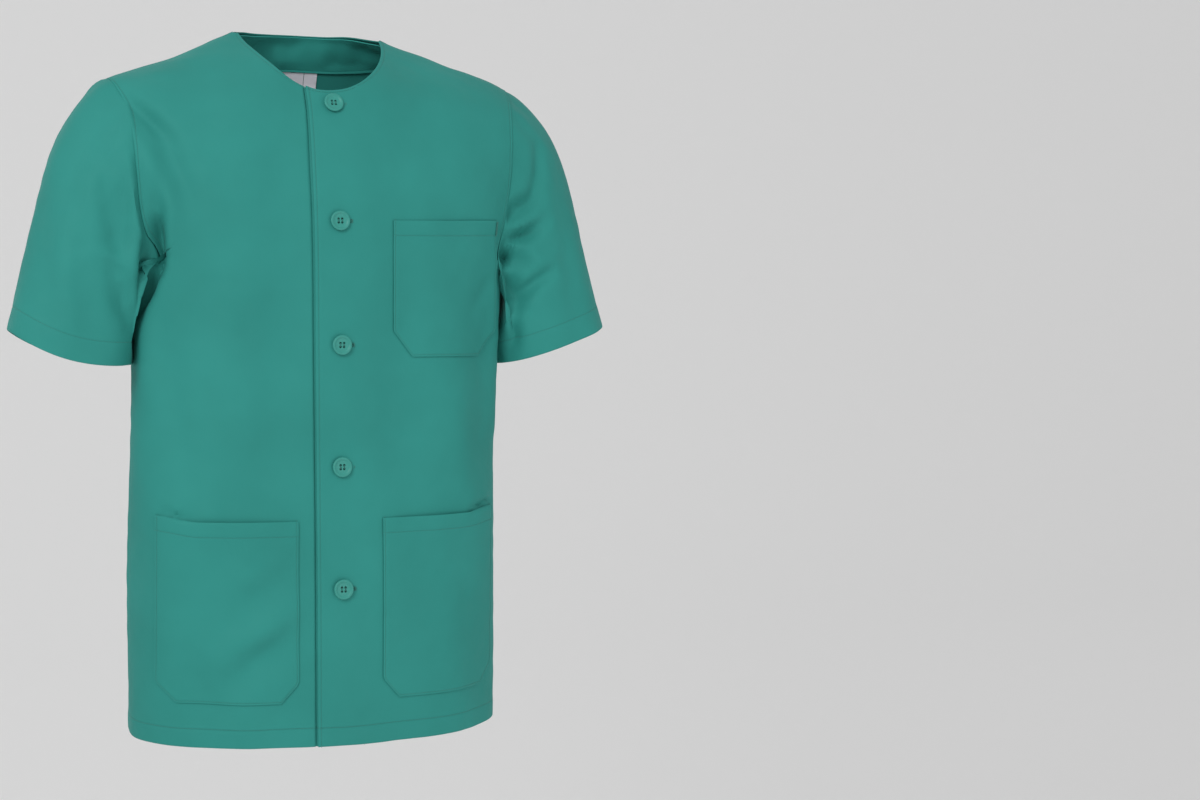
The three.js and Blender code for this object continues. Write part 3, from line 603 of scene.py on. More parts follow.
def front_grids(side, stand):
    """Body and lap of a front, for the wearer's left (side 1) or right (side -1)"""
    row = ROWS[:, None]
    length = row_lengths(plain_body(*front_place(row, ROUGH_SHARES)))
    share = spread(length, NECK_EDGE, SEAM_EDGE, FRONT_COLUMNS)
    angle, z = front_place(row, share)
    at_neck = smooth(NECK_BASE - 0.001, NECK_BASE + 0.001, row)
    topstitched = smooth(0.99, 1.03, row)
    from_lap = share * length[:, None]
    relief = seamed((1 - share) * length[:, None], topstitched)
    relief = relief + at_neck * stitched(from_lap, NECK_STITCH) + stitched(z - HEM_Z, HEM_DEPTH)
    relief = relief + stand * lap_share(plain_body(angle, z)[..., 0])
    if side < 0:
        pressed = np.exp(-(((from_lap - PRESSED_PLACE) / PRESSED_WIDTH) ** 2))
        relief = relief - PRESSED_DEPTH * pressed * (1 - at_neck)
    lap_row = ROWS[: NECK_BASE_ROW + 1, None]
    edge = LAP - steps(LAP_EDGE, 0.004, 2 * LAP)
    lap_x = -edge[None, :] * np.ones_like(lap_row)
    _, start_z = front_start(lap_row)
    rise = (start_z - HEM_Z) / (front_neck_z(LAP_TURN) - HEM_Z)
    lap_z = mix(HEM_Z, front_neck_z(np.arccos(lap_x / NECK_HALF)), rise)
    from_neck = front_neck_z(np.arccos(lap_x / NECK_HALF)) - lap_z
    lap_relief = stand + stitched(lap_x + LAP, PLACKET_STITCH, 0.0002) + stitched(from_neck, NECK_STITCH)
    lap_relief = lap_relief + stitched(lap_z - HEM_Z, HEM_DEPTH)
    lap_angle = angle_at(lap_x, lap_z, -1)
    if side < 0:
        angle, lap_angle = -math.pi - angle, -math.pi - lap_angle
    body, _ = body_surface(angle, z, relief)
    lap, _ = body_surface(lap_angle, lap_z, lap_relief)
    lap[:, -1] = body[: NECK_BASE_ROW + 1, 0]
    if side < 0:
        body, lap = body[:, ::-1], lap[:, ::-1]
    return body, lap


for side, node, stand, rest in (
    (-1, "front_right", 0.0, "front_left"),
    (1, "front_left", CLOTH + LAP_GAP, "front_right"),
):
    body_points, lap_points = front_grids(side, stand)
    piece = sewn_sheet("tunic_" + node, [lap_points, body_points], green_poplin)
    as_cloth(piece, node)
    body_out, lap_out = grid_directions(body_points), grid_directions(lap_points)
    last, lap_last = body_points.shape[1] - 1, lap_points.shape[1] - 1
    neck_j, lap_j = NECK_EDGE.index(NECK_STITCH), LAP_EDGE.index(PLACKET_STITCH)
    seam_j = last - SEAM_EDGE.index(TOPSTITCH)
    if side < 0:  # the columns of the right front run the other way
        neck_j, seam_j, lap_j = last - neck_j, last - seam_j, lap_last - lap_j
    stitch_along(body_points[NECK_BASE_ROW:, neck_j], body_out[NECK_BASE_ROW:, neck_j])
    stitch_along(body_points[UNDERARM_ROW + 2 :, seam_j], body_out[UNDERARM_ROW + 2 :, seam_j])
    stitch_along(body_points[HEM_STITCH_ROW], body_out[HEM_STITCH_ROW])
    stitch_along(lap_points[HEM_STITCH_ROW], lap_out[HEM_STITCH_ROW])
    stitch_along(lap_points[:, lap_j], lap_out[:, lap_j])
    neck_row = NECK_BASE_ROW - NECK_EDGE.index(NECK_STITCH)
    stitch_along(lap_points[neck_row], lap_out[neck_row])

# Sleeves
# One cut piece each, sewn closed under the arm and set into the armhole. The cloth leaves the
# armhole, turns down over the arm and ends in a hem with one row of stitches.

CUFF_HALF_DEPTH = 0.060
CUFF_SQUARE_INSIDE = 2.7  # 2 is an ellipse, more lies flatter against the body
CUFF_SQUARE_OUTSIDE = 2.2
CUFF_BACK_RISE = 0.004  # how much higher the cuff lies behind the arm than its middle
# The wearer's left arm is held a little further out, so the two sleeves fall differently. centre,
# half_width and tilt in degrees place the cuff, and dip is how far its middle hangs down. leave and
# under are the slopes of the cloth at the shoulder tip and under the arm, and the pulls are the
# shares of the length over which it keeps its direction at the armhole and at the cuff.
FALL = {
    "right": dict(
        centre=(0.263, -0.032, -0.336), half_width=0.065, tilt=16, dip=0.013,
        leave=30, under=30, start_pull=0.28, end_pull=0.36,
    ),
    "left": dict(
        centre=(0.266, -0.032, -0.335), half_width=0.064, tilt=19, dip=0.0,
        leave=20, under=78, start_pull=0.32, end_pull=0.46,
    ),
}

# Columns as in the folds of the body
SLEEVE_FOLDS = {
    "right": [
        (-1, -0.300, -0.150, -0.286, -0.330, 0.004, 0.016, -0.0035),
        (-1, -0.262, -0.150, -0.246, -0.330, 0.004, 0.016, -0.0040),
        (-1, -0.206, -0.150, -0.202, -0.256, -0.003, 0.009, 0.0080),
        (-1, -0.236, -0.120, -0.220, -0.235, 0.004, 0.012, -0.0040),
        (-1, -0.190, -0.236, -0.188, -0.290, 0.000, 0.009, -0.0200),
        (-1, -0.216, -0.266, -0.206, -0.312, 0.002, 0.013, -0.0070),
        (-1, -0.214, -0.252, -0.240, -0.240, 0.002, 0.009, 0.0035),
        (1, -0.222, -0.160, -0.214, -0.290, 0.000, 0.010, -0.0060),
        (1, -0.256, -0.140, -0.262, -0.330, 0.004, 0.016, 0.0040),
    ],
    "left": [
        (-1, 0.238, -0.122, 0.222, -0.186, -0.004, 0.008, -0.0055),
        (-1, 0.232, -0.180, 0.196, -0.202, 0.004, 0.009, -0.0095),
        (-1, 0.198, -0.211, 0.238, -0.203, 0.002, 0.006, 0.0045),
        (-1, 0.238, -0.204, 0.188, -0.223, -0.004, 0.008, -0.0130),
        (-1, 0.184, -0.236, 0.208, -0.243, 0.000, 0.010, -0.0250),
        (-1, 0.222, -0.236, 0.250, -0.246, 0.004, 0.011, 0.0060),
        (-1, 0.198, -0.256, 0.206, -0.292, 0.000, 0.014, -0.0220),
        (-1, 0.242, -0.259, 0.208, -0.292, 0.003, 0.008, -0.0105),
        (-1, 0.204, -0.306, 0.206, -0.344, 0.000, 0.010, -0.0100),
        (-1, 0.266, -0.150, 0.280, -0.340, 0.004, 0.016, -0.0035),
        (1, 0.222, -0.160, 0.214, -0.290, 0.000, 0.010, -0.0060),
        (1, 0.262, -0.150, 0.260, -0.330, 0.004, 0.016, 0.0040),
    ],
}
SLEEVE_SEAM_ROWS = [0, 0.0007, 0.0016, 0.0035, 0.007]
CUFF_HEM = 0.024
CUFF_ROWS = [
    0, 0.0008, 0.002, 0.005, 0.010, 0.015, 0.0195, 0.022, 0.0231,
    CUFF_HEM, 0.0249, 0.026, 0.0285, 0.033,
]
SLEEVE_ROWS = 44
SEAM_TUCK = 0.0012  # the sleeve starts a little under the edge of the body
SEAM_SINK, SEAM_STAND = 0.0004, 0.0012  # how far inside it at the shoulder, and outside under the arm
FOLD_FADE = 0.009  # folds die away over this length towards the armhole
# The cap is eased in, which leaves slight gathers: how high, how far from the seam and how wide
GATHER_HEIGHT, GATHER_PLACE, GATHER_WIDTH = 0.0011, 0.016, 0.014


def bezier(points, t):
    a, b, c, d = points
    return (1 - t) ** 3 * a + 3 * (1 - t) ** 2 * t * b + 3 * (1 - t) * t**2 * c + t**3 * d


def sleeve_grid(hand):
    mirror = 1 if hand == "left" else -1
    fall = FALL[hand]
    flip = np.array([mirror, 1, 1])
    rows_down = np.arange(TIP_ROW, UNDERARM_ROW - 1, -1)
    row = np.concatenate([ROWS[rows_down], ROWS[rows_down[::-1]][1:-1]])
    side = np.concatenate([-np.ones(len(rows_down)), np.ones(len(rows_down) - 2)])
    turn = np.where(side < 0, math.pi * (2 - row), 2 * math.pi - math.pi * (2 - row))
    z = seam_z(row)
    at_end = (row <= ROWS[UNDERARM_ROW]) | (row >= ROWS[TIP_ROW])
    seam = np.where(at_end, 0, np.where(side < 0, seam_angle(row, -1), seam_angle(row, 1)))
    angle = seam if mirror > 0 else math.pi * np.where(seam < 0, -1, 1) - seam
    edge, _ = body_surface(angle, z)
    edge, normal = edge * flip, body_normal(angle, z) * flip
    lowness = (1 - np.cos(turn)) / 2
    under = smooth(0.6, 1, lowness)
    drop = np.radians(mix(fall["leave"], fall["under"], lowness))
    level_x, level_y = mix(1, normal[:, 0], under), mix(0.1 * np.sin(turn), normal[:, 1], under)
    level = unit(np.stack([level_x, level_y, 0 * turn], -1))
    leave = level * np.cos(drop)[:, None] - np.array([0, 0, 1]) * np.sin(drop)[:, None]
    edge = edge + leave * mix(-SEAM_TUCK, SEAM_GAP, under)[:, None]
    edge = edge + normal * mix(-SEAM_SINK, SEAM_STAND, under)[:, None]
    tilt = math.radians(fall["tilt"])
    cuff_out = np.array([math.cos(tilt), 0, math.sin(tilt)])
    cuff_down = np.array([math.sin(tilt), 0, -math.cos(tilt)])
    power = 2 / np.where(np.cos(turn) < 0, CUFF_SQUARE_INSIDE, CUFF_SQUARE_OUTSIDE)
    across = signed_power(np.cos(turn), power)
    end = np.array(fall["centre"]) + cuff_out * (fall["half_width"] * across)[:, None]
    end[:, 1] -= CUFF_HALF_DEPTH * signed_power(np.sin(turn), power)
    end[:, 2] -= fall["dip"] * (1 - across**2) * (1 + across / 4)
    end[:, 2] += CUFF_BACK_RISE * np.clip(-np.sin(turn), 0, 1)
    reach = np.linalg.norm(end - edge, axis=1)[:, None]
    pulls = (edge, edge + leave * fall["start_pull"] * reach, end - cuff_down * fall["end_pull"] * reach, end)
    dense = np.stack([bezier(pulls, t) for t in np.linspace(0, 1, 160)])
    run = column_runs(dense)
    share = spread(run[-1], SLEEVE_SEAM_ROWS, CUFF_ROWS, SLEEVE_ROWS)
    grid = np.zeros((share.shape[1], len(turn), 3))
    for j in range(len(turn)):
        for axis in range(3):
            grid[:, j, axis] = np.interp(share[j] * run[-1, j], run[:, j], dense[:, j, axis])
    distance = share.T * run[-1]
    out = unit(np.cross(np.roll(grid, -1, axis=1) - np.roll(grid, 1, axis=1), np.gradient(grid, axis=0)))
    height = folded(SLEEVE_FOLDS[hand], mirror * grid[..., 0], grid[..., 2], out[..., 1])
    height = (height + unevenness(grid * flip)) * smooth(0, FOLD_FADE, distance)
    height = height + seamed(distance, 0.0) + stitched(run[-1] - distance, CUFF_HEM)
    gathers = GATHER_HEIGHT * np.sin(turn * 19 + 0.8 * np.sin(turn * 3)) * (1 - lowness) ** 2
    height = height + gathers * np.exp(-(((distance - GATHER_PLACE) / GATHER_WIDTH) ** 2))
    grid = (grid + out * height[..., None]) * flip
    return grid if mirror > 0 else grid[:, ::-1]


for hand in ("right", "left"):
    sleeve_points = sleeve_grid(hand)
    piece = sewn_sheet("tunic_sleeve_" + hand, [sleeve_points], green_poplin, ring=True)
    as_cloth(piece, "sleeve_" + hand)
    sleeve_out = grid_directions(sleeve_points, ring=True)
    hem_row = len(sleeve_points) - 1 - CUFF_ROWS.index(CUFF_HEM)
    closed = np.arange(sleeve_points.shape[1] + 1) % sleeve_points.shape[1]
    stitch_along(sleeve_points[hem_row, closed], sleeve_out[hem_row, closed])

# Neck facing and labels
# A shaped band of the same cloth faces the inside of the back neck. Two woven ribbon tabs, a wide
# one and a narrow one, are caught in its lower edge; both are plain.

FACING_DEPTH = 0.038
FACING_SHOULDER = 0.022
FACING_END = 0.06  # angle by which the band stops short of each shoulder seam


def facing_low_z(share):
    middle = 1 - np.abs(2 * share - 1) ** 2.4
    return mix(-FACING_SHOULDER / 2, BACK_NECK_RISE - FACING_DEPTH, middle)


def facing_grid():
    share = np.linspace(0, 1, 70)[None, :]
    top = SHOULDER_SEAM_Z[-1] - 0.0006 + BACK_NECK_RISE * (1 - np.abs(2 * share - 1) ** 3)
    low = facing_low_z(share)
    from_low = steps([0, 0.0007, 0.0014, 0.002, 0.0028, 0.004], 0.003, FACING_DEPTH) / FACING_DEPTH
    z = mix(low, top, from_low[:, None])
    angle = mix(FACING_END, math.pi - FACING_END, share) * np.ones_like(z)
    inside = plain_body(angle, z)
    # Lightly rumpled, but never so far out that it would press through the back
    soft = 0.0016 * np.minimum(0.8, rumple(inside * np.array([1, 1, 0.5]), 0.034, 21))
    soft = soft * smooth(0.002, 0.012, z - low) * smooth(0.001, 0.008, top - z)
    depth = -CLOTH - SEAM_GAP - 0.0016 + 0.0005 * np.exp(-(((z - low) - 0.002) / 0.0009) ** 2)
    return body_surface(angle, z, depth + soft)[0]


facing_points = facing_grid()
# The same poplin; light also comes through the thin back here, so it is drawn a little lighter
facing_poplin = poplin("Polyester and cotton poplin facing", "#35988F", "#2F8F86")
facing = sewn_sheet("neck_facing_band", [facing_points], facing_poplin)
as_cloth(facing, "neck_facing")

RIBBON_COLOUR = "#E6E3EC"


def woven_ribbon():
    # Polyester satin ribbon, woven narrow and heat-cut: near white, smooth, with a slight gleam
    material, tree = empty_material("Woven satin ribbon")
    weave = add(tree, "ShaderNodeUVMap", uv_map="Weave").outputs[0]
    fine = {"Vector": weave, "Scale": 320, "Distortion": 0.4}
    ribs = add(tree, "ShaderNodeTexWave", fine, bands_direction="Y")
    surfaced(tree, {
        "Base Color": linear(RIBBON_COLOUR),
        "Roughness": 0.5,
        "Sheen Weight": 0.1,
        "Normal": bump(tree, ribs.outputs[1], 0.25, 0.0001),
    })
    return material


ribbon = woven_ribbon()
facing_z = BACK_NECK_RISE - FACING_DEPTH
for node, from_x, to_x, height in (("label", -0.039, 0.016, 0.026), ("size_label", 0.0166, 0.031, 0.021)):
    x = np.linspace(from_x, to_x, 24)[None, :]
    ends = np.linspace(0, 1, 14)[:, None]
    z = facing_z + 0.001 - height * ends[::-1]
    curl = -0.0014 * smooth(0.4, 0, ends) * np.ones_like(x)
    points = body_surface(angle_at(x, z, 1), z, curl - CLOTH - SEAM_GAP - 0.0004)[0][:, ::-1]
    tab = sewn_sheet("ribbon_" + node, [points], ribbon, thickness=0.0005)
    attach(tab, "root")
    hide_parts(node)

# Patch pockets
# Three patches of the same cloth with a wide turned-in mouth and cut-off lower corners: one on the
# wearer's left chest and one on each hip. They are edge-stitched to the fronts.

MOUTH_BAND = 0.0155  # from the mouth's fold down to its stitching
POCKET_STITCH = 0.002
POCKET_EDGE = [0, 0.0006, 0.0013, POCKET_STITCH, 0.0027, 0.0036, 0.006]
MOUTH_ROWS = [0, 0.0008, 0.002, 0.005, 0.010, 0.0135, 0.0147, MOUTH_BAND, 0.0163, 0.0175, 0.020]
POCKET_GAP = 0.0007
GAPE_DEPTH = 0.030  # how far down from the mouth it still stands open
# inner and outer are the side edges, the cuts are those of the lower corners, sag is how far the
# mouth hangs below its outer corner, and gape is how far it stands open
POCKET_COLUMNS = "node front inner outer top bottom cut_x cut_z sag gape".split()
POCKETS = [dict(zip(POCKET_COLUMNS, values)) for values in (
    ("pocket_chest", "front_left", 0.058, 0.184, -0.206, -0.346, 0.022, 0.027, 0.0, 0.0012),
    ("pocket_hip_right", "front_right", -0.045, -0.181, -0.505, -0.692, 0.018, 0.020, 0.005, 0.0036),
    ("pocket_hip_left", "front_left", 0.043, 0.181, -0.505, -0.692, 0.018, 0.020, 0.004, 0.0034),
)]


def pocket_grid(pocket):
    """Points of a pocket, and the distances of each from its side edges, lower edge and mouth"""
    top, bottom = pocket["top"], pocket["bottom"]
    inner, outer = pocket["inner"], pocket["outer"]
    down = steps(MOUTH_ROWS, 0.004, top - bottom - 0.006)
    down = np.concatenate([down, (top - bottom) - np.array(POCKET_EDGE[::-1][1:])])
    z = top - down[::-1, None]
    cut = pocket["cut_x"] * np.clip(1 - (z - bottom) / pocket["cut_z"], 0, 1)
    way = np.sign(outer - inner)
    start, end = inner + way * cut, outer - way * cut
    width = np.abs(end - start)[:, 0]
    share = spread(width, POCKET_EDGE, POCKET_EDGE, 30)
    x = mix(start, end, share)
    side_distance = np.minimum(share, 1 - share) * width[:, None]
    z = z - pocket["sag"] * smooth(0, 0.3, 1 - share) * smooth(0.5, 1, (z - bottom) / (top - bottom))
    return x, z, side_distance, down[::-1, None] * np.ones_like(x)


for pocket in POCKETS:
    x, z, near_side, from_mouth = pocket_grid(pocket)
    height = pocket["top"] - pocket["bottom"]
    width = abs(pocket["outer"] - pocket["inner"])
    share = np.abs(x - pocket["inner"]) / width
    open_share = np.sin(math.pi * np.clip(share, 0, 1)) ** 1.5
    gape = pocket["gape"] * np.exp(-((from_mouth / GAPE_DEPTH) ** 2)) * open_share
    under = (CLOTH + LAP_GAP) * lap_share(x) if pocket["front"] == "front_left" else 0
    near_edge = np.minimum(near_side, height - from_mouth)
    relief = under + CLOTH + POCKET_GAP + gape + stitched(near_edge, POCKET_STITCH, 0.0002)
    relief = relief + stitched(from_mouth, MOUTH_BAND)
    points = body_surface(angle_at(x, z, -1), z, relief)[0]
    if pocket["inner"] < 0:
        points = points[:, ::-1]
    piece = sewn_sheet(pocket["node"] + "_patch", [points], green_poplin)
    as_cloth(piece, pocket["node"])
    out = grid_directions(points)
    band = int(np.argmin(np.abs(from_mouth[:, 0] - MOUTH_BAND)))
    stitch_along(points[band], out[band])
    # Down one side, along the lower edge and up the other side
    edge = POCKET_EDGE.index(POCKET_STITCH)
    last = points.shape[1] - 1 - edge
    stitch_along(*(
        np.concatenate([grid[:edge:-1, edge], grid[edge, edge : last + 1], grid[edge + 1 :, last]])
        for grid in (points, out)
    ))

# Buttons
# Five moulded polyester buttons of 32 lines, dyed to match, with a raised rim and four holes.
# Each is sewn through the right front with two crossings of thread.

BUTTON_RADIUS = 0.0102
BUTTON_THICKNESS = 0.0032
HOLE_RADIUS = 0.0013
HOLE_REACH = 0.0019  # from the button's centre line to a hole's, each way
BUTTON_COLOUR = "#379287"
BUTTON_SHADE = "#33877D"
BUTTON_FACE = 0.60  # height of the sunk face, as a share of the thickness
# Radius and height as shares of the button's, from the middle of its back round to its face
BUTTON_OUTLINE = [
    (0, 0), (0.70, 0), (0.90, 0.12), (0.985, 0.38), (1, 0.60), (0.985, 0.82), (0.94, 0.96), (0.88, 1),
    (0.81, 0.97), (0.74, 0.84), (0.66, 0.68), (0.58, 0.62), (0.3, BUTTON_FACE), (0, BUTTON_FACE),
]
BUTTON_SIDES = 56
BUTTON_GAP = 0.0008
STRAND_RADIUS = 0.00026
STRAND_SIDE = 0.0003  # each crossing has two strands, this far to each side
SHANK_RADIUS = 0.0016
# Both thread colours are darker than the cloth: painted shade for the dents and holes that the thread lies in
SHADED_THREAD_COLOUR = "#2C7A71"
SHADED_THREAD_DARK_TONE = "#236D64"


def moulded_polyester():
    # Cast polyester resin, tumbled to a satin finish: dyed through, with a soft gleam and fine haze
    material, tree = empty_material("Moulded polyester resin")
    haze = grain(tree, 500, 3)
    surfaced(tree, {
        "Base Color": blend(tree, haze, BUTTON_SHADE, BUTTON_COLOUR),
        "Roughness": ranged(tree, haze, to_min=0.34, to_max=0.5),
        "IOR": 1.55,
        "Specular IOR Level": 0.25,
        "Normal": bump(tree, haze, 0.15, 0.00008),
    })
    return material


def spun_thread():
    # Spun polyester sewing thread, dyed to the cloth's colour: matt and slightly hairy. It is coloured a
    # little darker than the cloth, as painted shade from the dents and holes that it lies in
    material, tree = empty_material("Spun polyester thread")
    tone = blend(tree, grain(tree, 1500, 2), SHADED_THREAD_DARK_TONE, SHADED_THREAD_COLOUR)
    surfaced(tree, {"Base Color": tone, "Roughness": 0.8, "Sheen Weight": 0.15})
    return material


button_resin = moulded_polyester()
thread = spun_thread()


def button_mesh():
    """Button in its own place, its back on z = 0 and its face up"""
    turns = [2 * math.pi * k / BUTTON_SIDES for k in range(BUTTON_SIDES)]
    work = bmesh.new()
    rings = []
    for across, up in BUTTON_OUTLINE:
        radius, height = across * BUTTON_RADIUS, up * BUTTON_THICKNESS
        if radius == 0:
            rings.append([work.verts.new((0, 0, height))] * BUTTON_SIDES)
        else:
            places = [(radius * math.cos(a), radius * math.sin(a), height) for a in turns]
            rings.append([work.verts.new(place) for place in places])
    for low, high in zip(rings, rings[1:]):
        for k in range(BUTTON_SIDES):
            after = (k + 1) % BUTTON_SIDES
            corners = []
            for vertex in (low[k], high[k], high[after], low[after]):
                if vertex not in corners:
                    corners.append(vertex)
            work.faces.new(corners)
    bmesh.ops.recalc_face_normals(work, faces=work.faces)
    mesh = bpy.data.meshes.new("button")
    work.to_mesh(mesh)
    work.free()
    disc = placed("button_disc", mesh)
    work = bmesh.new()
    for x in (-HOLE_REACH, HOLE_REACH):
        for y in (-HOLE_REACH, HOLE_REACH):
            bmesh.ops.create_cone(
                work, cap_ends=True, segments=16, radius1=HOLE_RADIUS, radius2=HOLE_RADIUS,
                depth=3 * BUTTON_THICKNESS, matrix=Matrix.Translation((x, y, 0.5 * BUTTON_THICKNESS)),
            )
    drills_mesh = bpy.data.meshes.new("holes")
    work.to_mesh(drills_mesh)
    work.free()
    drills = placed("button_holes", drills_mesh)
    cut = disc.modifiers.new("Holes", "BOOLEAN")
    cut.operation, cut.object, cut.solver = "DIFFERENCE", drills, "EXACT"
    bpy.context.view_layer.update()
    result = bpy.data.meshes.new_from_object(disc.evaluated_get(bpy.context.evaluated_depsgraph_get()))
    for spent in (disc, drills):
        bpy.data.objects.remove(spent)
    return result


def tube(path, radius, sides=8):
    """Closed round tube along a path of points"""
    work = bmesh.new()
    path = [Vector(p) for p in path]
    rings = []
    for i, point in enumerate(path):
        along = (path[min(i + 1, len(path) - 1)] - path[max(i - 1, 0)]).normalized()
        first = along.orthogonal().normalized() if i == 0 else (first - along * first.dot(along)).normalized()
        second = along.cross(first)
        rings.append([work.verts.new(point + radius * (math.cos(a) * first + math.sin(a) * second))
                      for a in (2 * math.pi * k / sides for k in range(sides))])
    for low, high in zip(rings, rings[1:]):
        for k in range(sides):
            work.faces.new((low[k], low[(k + 1) % sides], high[(k + 1) % sides], high[k]))
    work.faces.new(rings[0][::-1])
    work.faces.new(rings[-1])
    bmesh.ops.recalc_face_normals(work, faces=work.faces)
    mesh = bpy.data.meshes.new("tube")
    work.to_mesh(mesh)
    work.free()
    return mesh


def joined(name, parts, material):
    """One object from several meshes, each with the matrix that puts it in place"""
    work = bmesh.new()
    for mesh, place in parts:
        part = mesh.copy()
        part.transform(place)
        work.from_mesh(part)
        bpy.data.meshes.remove(part)
    result = bpy.data.meshes.new(name)
    work.to_mesh(result)
    work.free()
    result.shade_smooth()
    result.materials.clear()
    result.materials.append(material)
    piece = placed(name, result)
    piece.modifiers.new("Edges", "EDGE_SPLIT").split_angle = math.radians(40)
    return piece


def lap_seat(x, z, lift):
    """Matrix that stands something on the lapped front, x to the wearer's left and z outwards"""
    point, out = body_surface(angle_at(np.array(x), np.array(z), -1), np.array(z), CLOTH + LAP_GAP + lift)
    forward = Vector(out)
    up = (Vector((0, 0, 1)) - forward * forward.z).normalized()
    turned = Matrix((up.cross(forward), up, forward)).transposed().to_4x4()
    return Matrix.Translation(Vector(point)) @ turned


def button_z(number):
    low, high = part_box(f"button_{number}")
    return (low.z + high.z) / 2


button_shape = button_mesh()
for number in range(1, 6):
    seat = lap_seat(0.0, button_z(number), BUTTON_GAP)
    button = joined(f"resin_button_{number}", [(button_shape, seat)], button_resin)
    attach(button, "root")
    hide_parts(f"button_{number}")
    face = BUTTON_THICKNESS * BUTTON_FACE
    across = np.linspace(-HOLE_REACH, HOLE_REACH, 9)
    crossings = []
    for x in (-HOLE_REACH, HOLE_REACH):
        for strand in (-STRAND_SIDE, STRAND_SIDE):
            rise = [(x + strand, y, face + 0.0004 - 0.0016 * abs(y / HOLE_REACH) ** 3) for y in across]
            crossings.append((tube(rise, STRAND_RADIUS), seat))
    shank = [(0, 0, -0.0012), (0, 0, 0.0006)]
    crossings.append((tube(shank, SHANK_RADIUS), seat))
    sewn = joined(f"button_thread_{number}", crossings, thread)
    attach(sewn, "root")

# Buttonholes
# A horizontal slit for each button in the lapped front, its edges bound by a dense zigzag. The
# buttons cover all but the outer end.

BUTTONHOLE_LENGTH = 0.021
BUTTONHOLE_END = 0.0134  # from the button's centre to the hole's outer end
BUTTONHOLE_HALF = 0.0011
BUTTONHOLE_BARS = 27
BAR_RADIUS = 0.00034
END_BAR_RADIUS = 0.0006

for number in range(1, 6):
    half = BUTTONHOLE_LENGTH / 2
    seat = lap_seat(BUTTONHOLE_END - half, button_z(number), 0.0)
    bars = []
    for k in range(BUTTONHOLE_BARS):
        x = mix(-half, half, k / (BUTTONHOLE_BARS - 1))
        for side in (-1, 1):
            y = side * BUTTONHOLE_HALF
            bar = [(x, y - 0.0008, 0.0), (x, y, 0.00035), (x, y + 0.0008, 0.0)]
            bars.append((tube(bar, BAR_RADIUS, 6), seat))
    for x in (-half, half):
        bar = [(x, -0.0018, 0.0001), (x, 0, 0.0005), (x, 0.0018, 0.0001)]
        bars.append((tube(bar, END_BAR_RADIUS, 6), seat))
    bound = joined(f"buttonhole_{number}", bars, thread)
    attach(bound, "root")

# Stitching
# Every hem, edge and seam shows one row of lockstitch, 2.5 mm to a stitch, in matching thread that is
# coloured darker as painted shade.
# Each stitch lies in the dent that the thread pulls into the cloth.

STITCH_PITCH = 0.0025
STITCH_LENGTH = 0.0021
STITCH_WIDTH = 0.0005


def stitch_tree(material):
    """Sews a short rounded stitch at every step along the lines of a mesh, square to its surface"""
    tree = bpy.data.node_groups.new("Lockstitch", "GeometryNodeTree")
    face = tree.interface
    face.new_socket("Lines", in_out="INPUT", socket_type="NodeSocketGeometry")
    for name in ("Stitch pitch", "Stitch length", "Thread width"):
        face.new_socket(name, in_out="INPUT", socket_type="NodeSocketFloat")
    face.new_socket("Stitches", in_out="OUTPUT", socket_type="NodeSocketGeometry")
    given = add(tree, "NodeGroupInput").outputs
    lines = add(tree, "GeometryNodeMeshToCurve", {"Mesh": given["Lines"]})
    spaced = {"Curve": lines.outputs["Curve"], "Length": given["Stitch pitch"]}
    steps_on = add(tree, "GeometryNodeResampleCurve", spaced, mode="LENGTH")
    along = add(tree, "GeometryNodeInputTangent")
    out = add(tree, "GeometryNodeInputNamedAttribute", {"Name": "out"}, data_type="FLOAT_VECTOR")
    turned = add(tree, "FunctionNodeAlignRotationToVector", {"Vector": along.outputs[0]}, axis="X")
    both = {"Rotation": turned.outputs[0], "Vector": out.outputs[0]}
    upright = add(tree, "FunctionNodeAlignRotationToVector", both, axis="Z", pivot_axis="X")
    bead = add(tree, "GeometryNodeMeshUVSphere", {"Segments": 6, "Rings": 5, "Radius": 0.5})
    measures = {0: given["Stitch length"], 1: given["Thread width"], 2: given["Thread width"]}
    size = add(tree, "ShaderNodeCombineXYZ", measures)
    stretched = {"Geometry": bead.outputs["Mesh"], "Scale": size.outputs[0]}
    shaped = add(tree, "GeometryNodeTransform", stretched)
    sewn = add(tree, "GeometryNodeInstanceOnPoints", {
        "Points": steps_on.outputs["Curve"],
        "Instance": shaped.outputs[0],
        "Rotation": upright.outputs[0],
    })
    real = add(tree, "GeometryNodeRealizeInstances", {"Geometry": sewn.outputs[0]})
    coloured = add(tree, "GeometryNodeSetMaterial", {"Geometry": real.outputs[0], "Material": material})
    smooth_shaded = add(tree, "GeometryNodeSetShadeSmooth", {"Geometry": coloured.outputs[0]})
    add(tree, "NodeGroupOutput", {"Stitches": smooth_shaded.outputs[0]})
    return tree


def sew(name, rows_of_points, sizes):
    places, edges, outs = [], [], []
    for points, out in rows_of_points:
        start = len(places)
        places += points.tolist()
        outs += out.tolist()
        edges += [(start + k, start + k + 1) for k in range(len(points) - 1)]
    mesh = bpy.data.meshes.new(name + "_lines")
    mesh.from_pydata(places, edges, [])
    mesh.attributes.new("out", "FLOAT_VECTOR", "POINT").data.foreach_set("vector", np.array(outs).ravel())
    lines = placed(name + "_lines", mesh)
    needle = lines.modifiers.new("Lockstitch", "NODES")
    needle.node_group = stitch_tree(thread)
    for socket in needle.node_group.interface.items_tree:
        if socket.in_out == "INPUT" and socket.name in sizes:
            needle[socket.identifier] = sizes[socket.name]
    bpy.context.view_layer.update()
    sewn_mesh = bpy.data.meshes.new_from_object(lines.evaluated_get(bpy.context.evaluated_depsgraph_get()))
    lines.modifiers.remove(needle)
    bpy.data.objects.remove(lines)
    return placed(name, sewn_mesh)


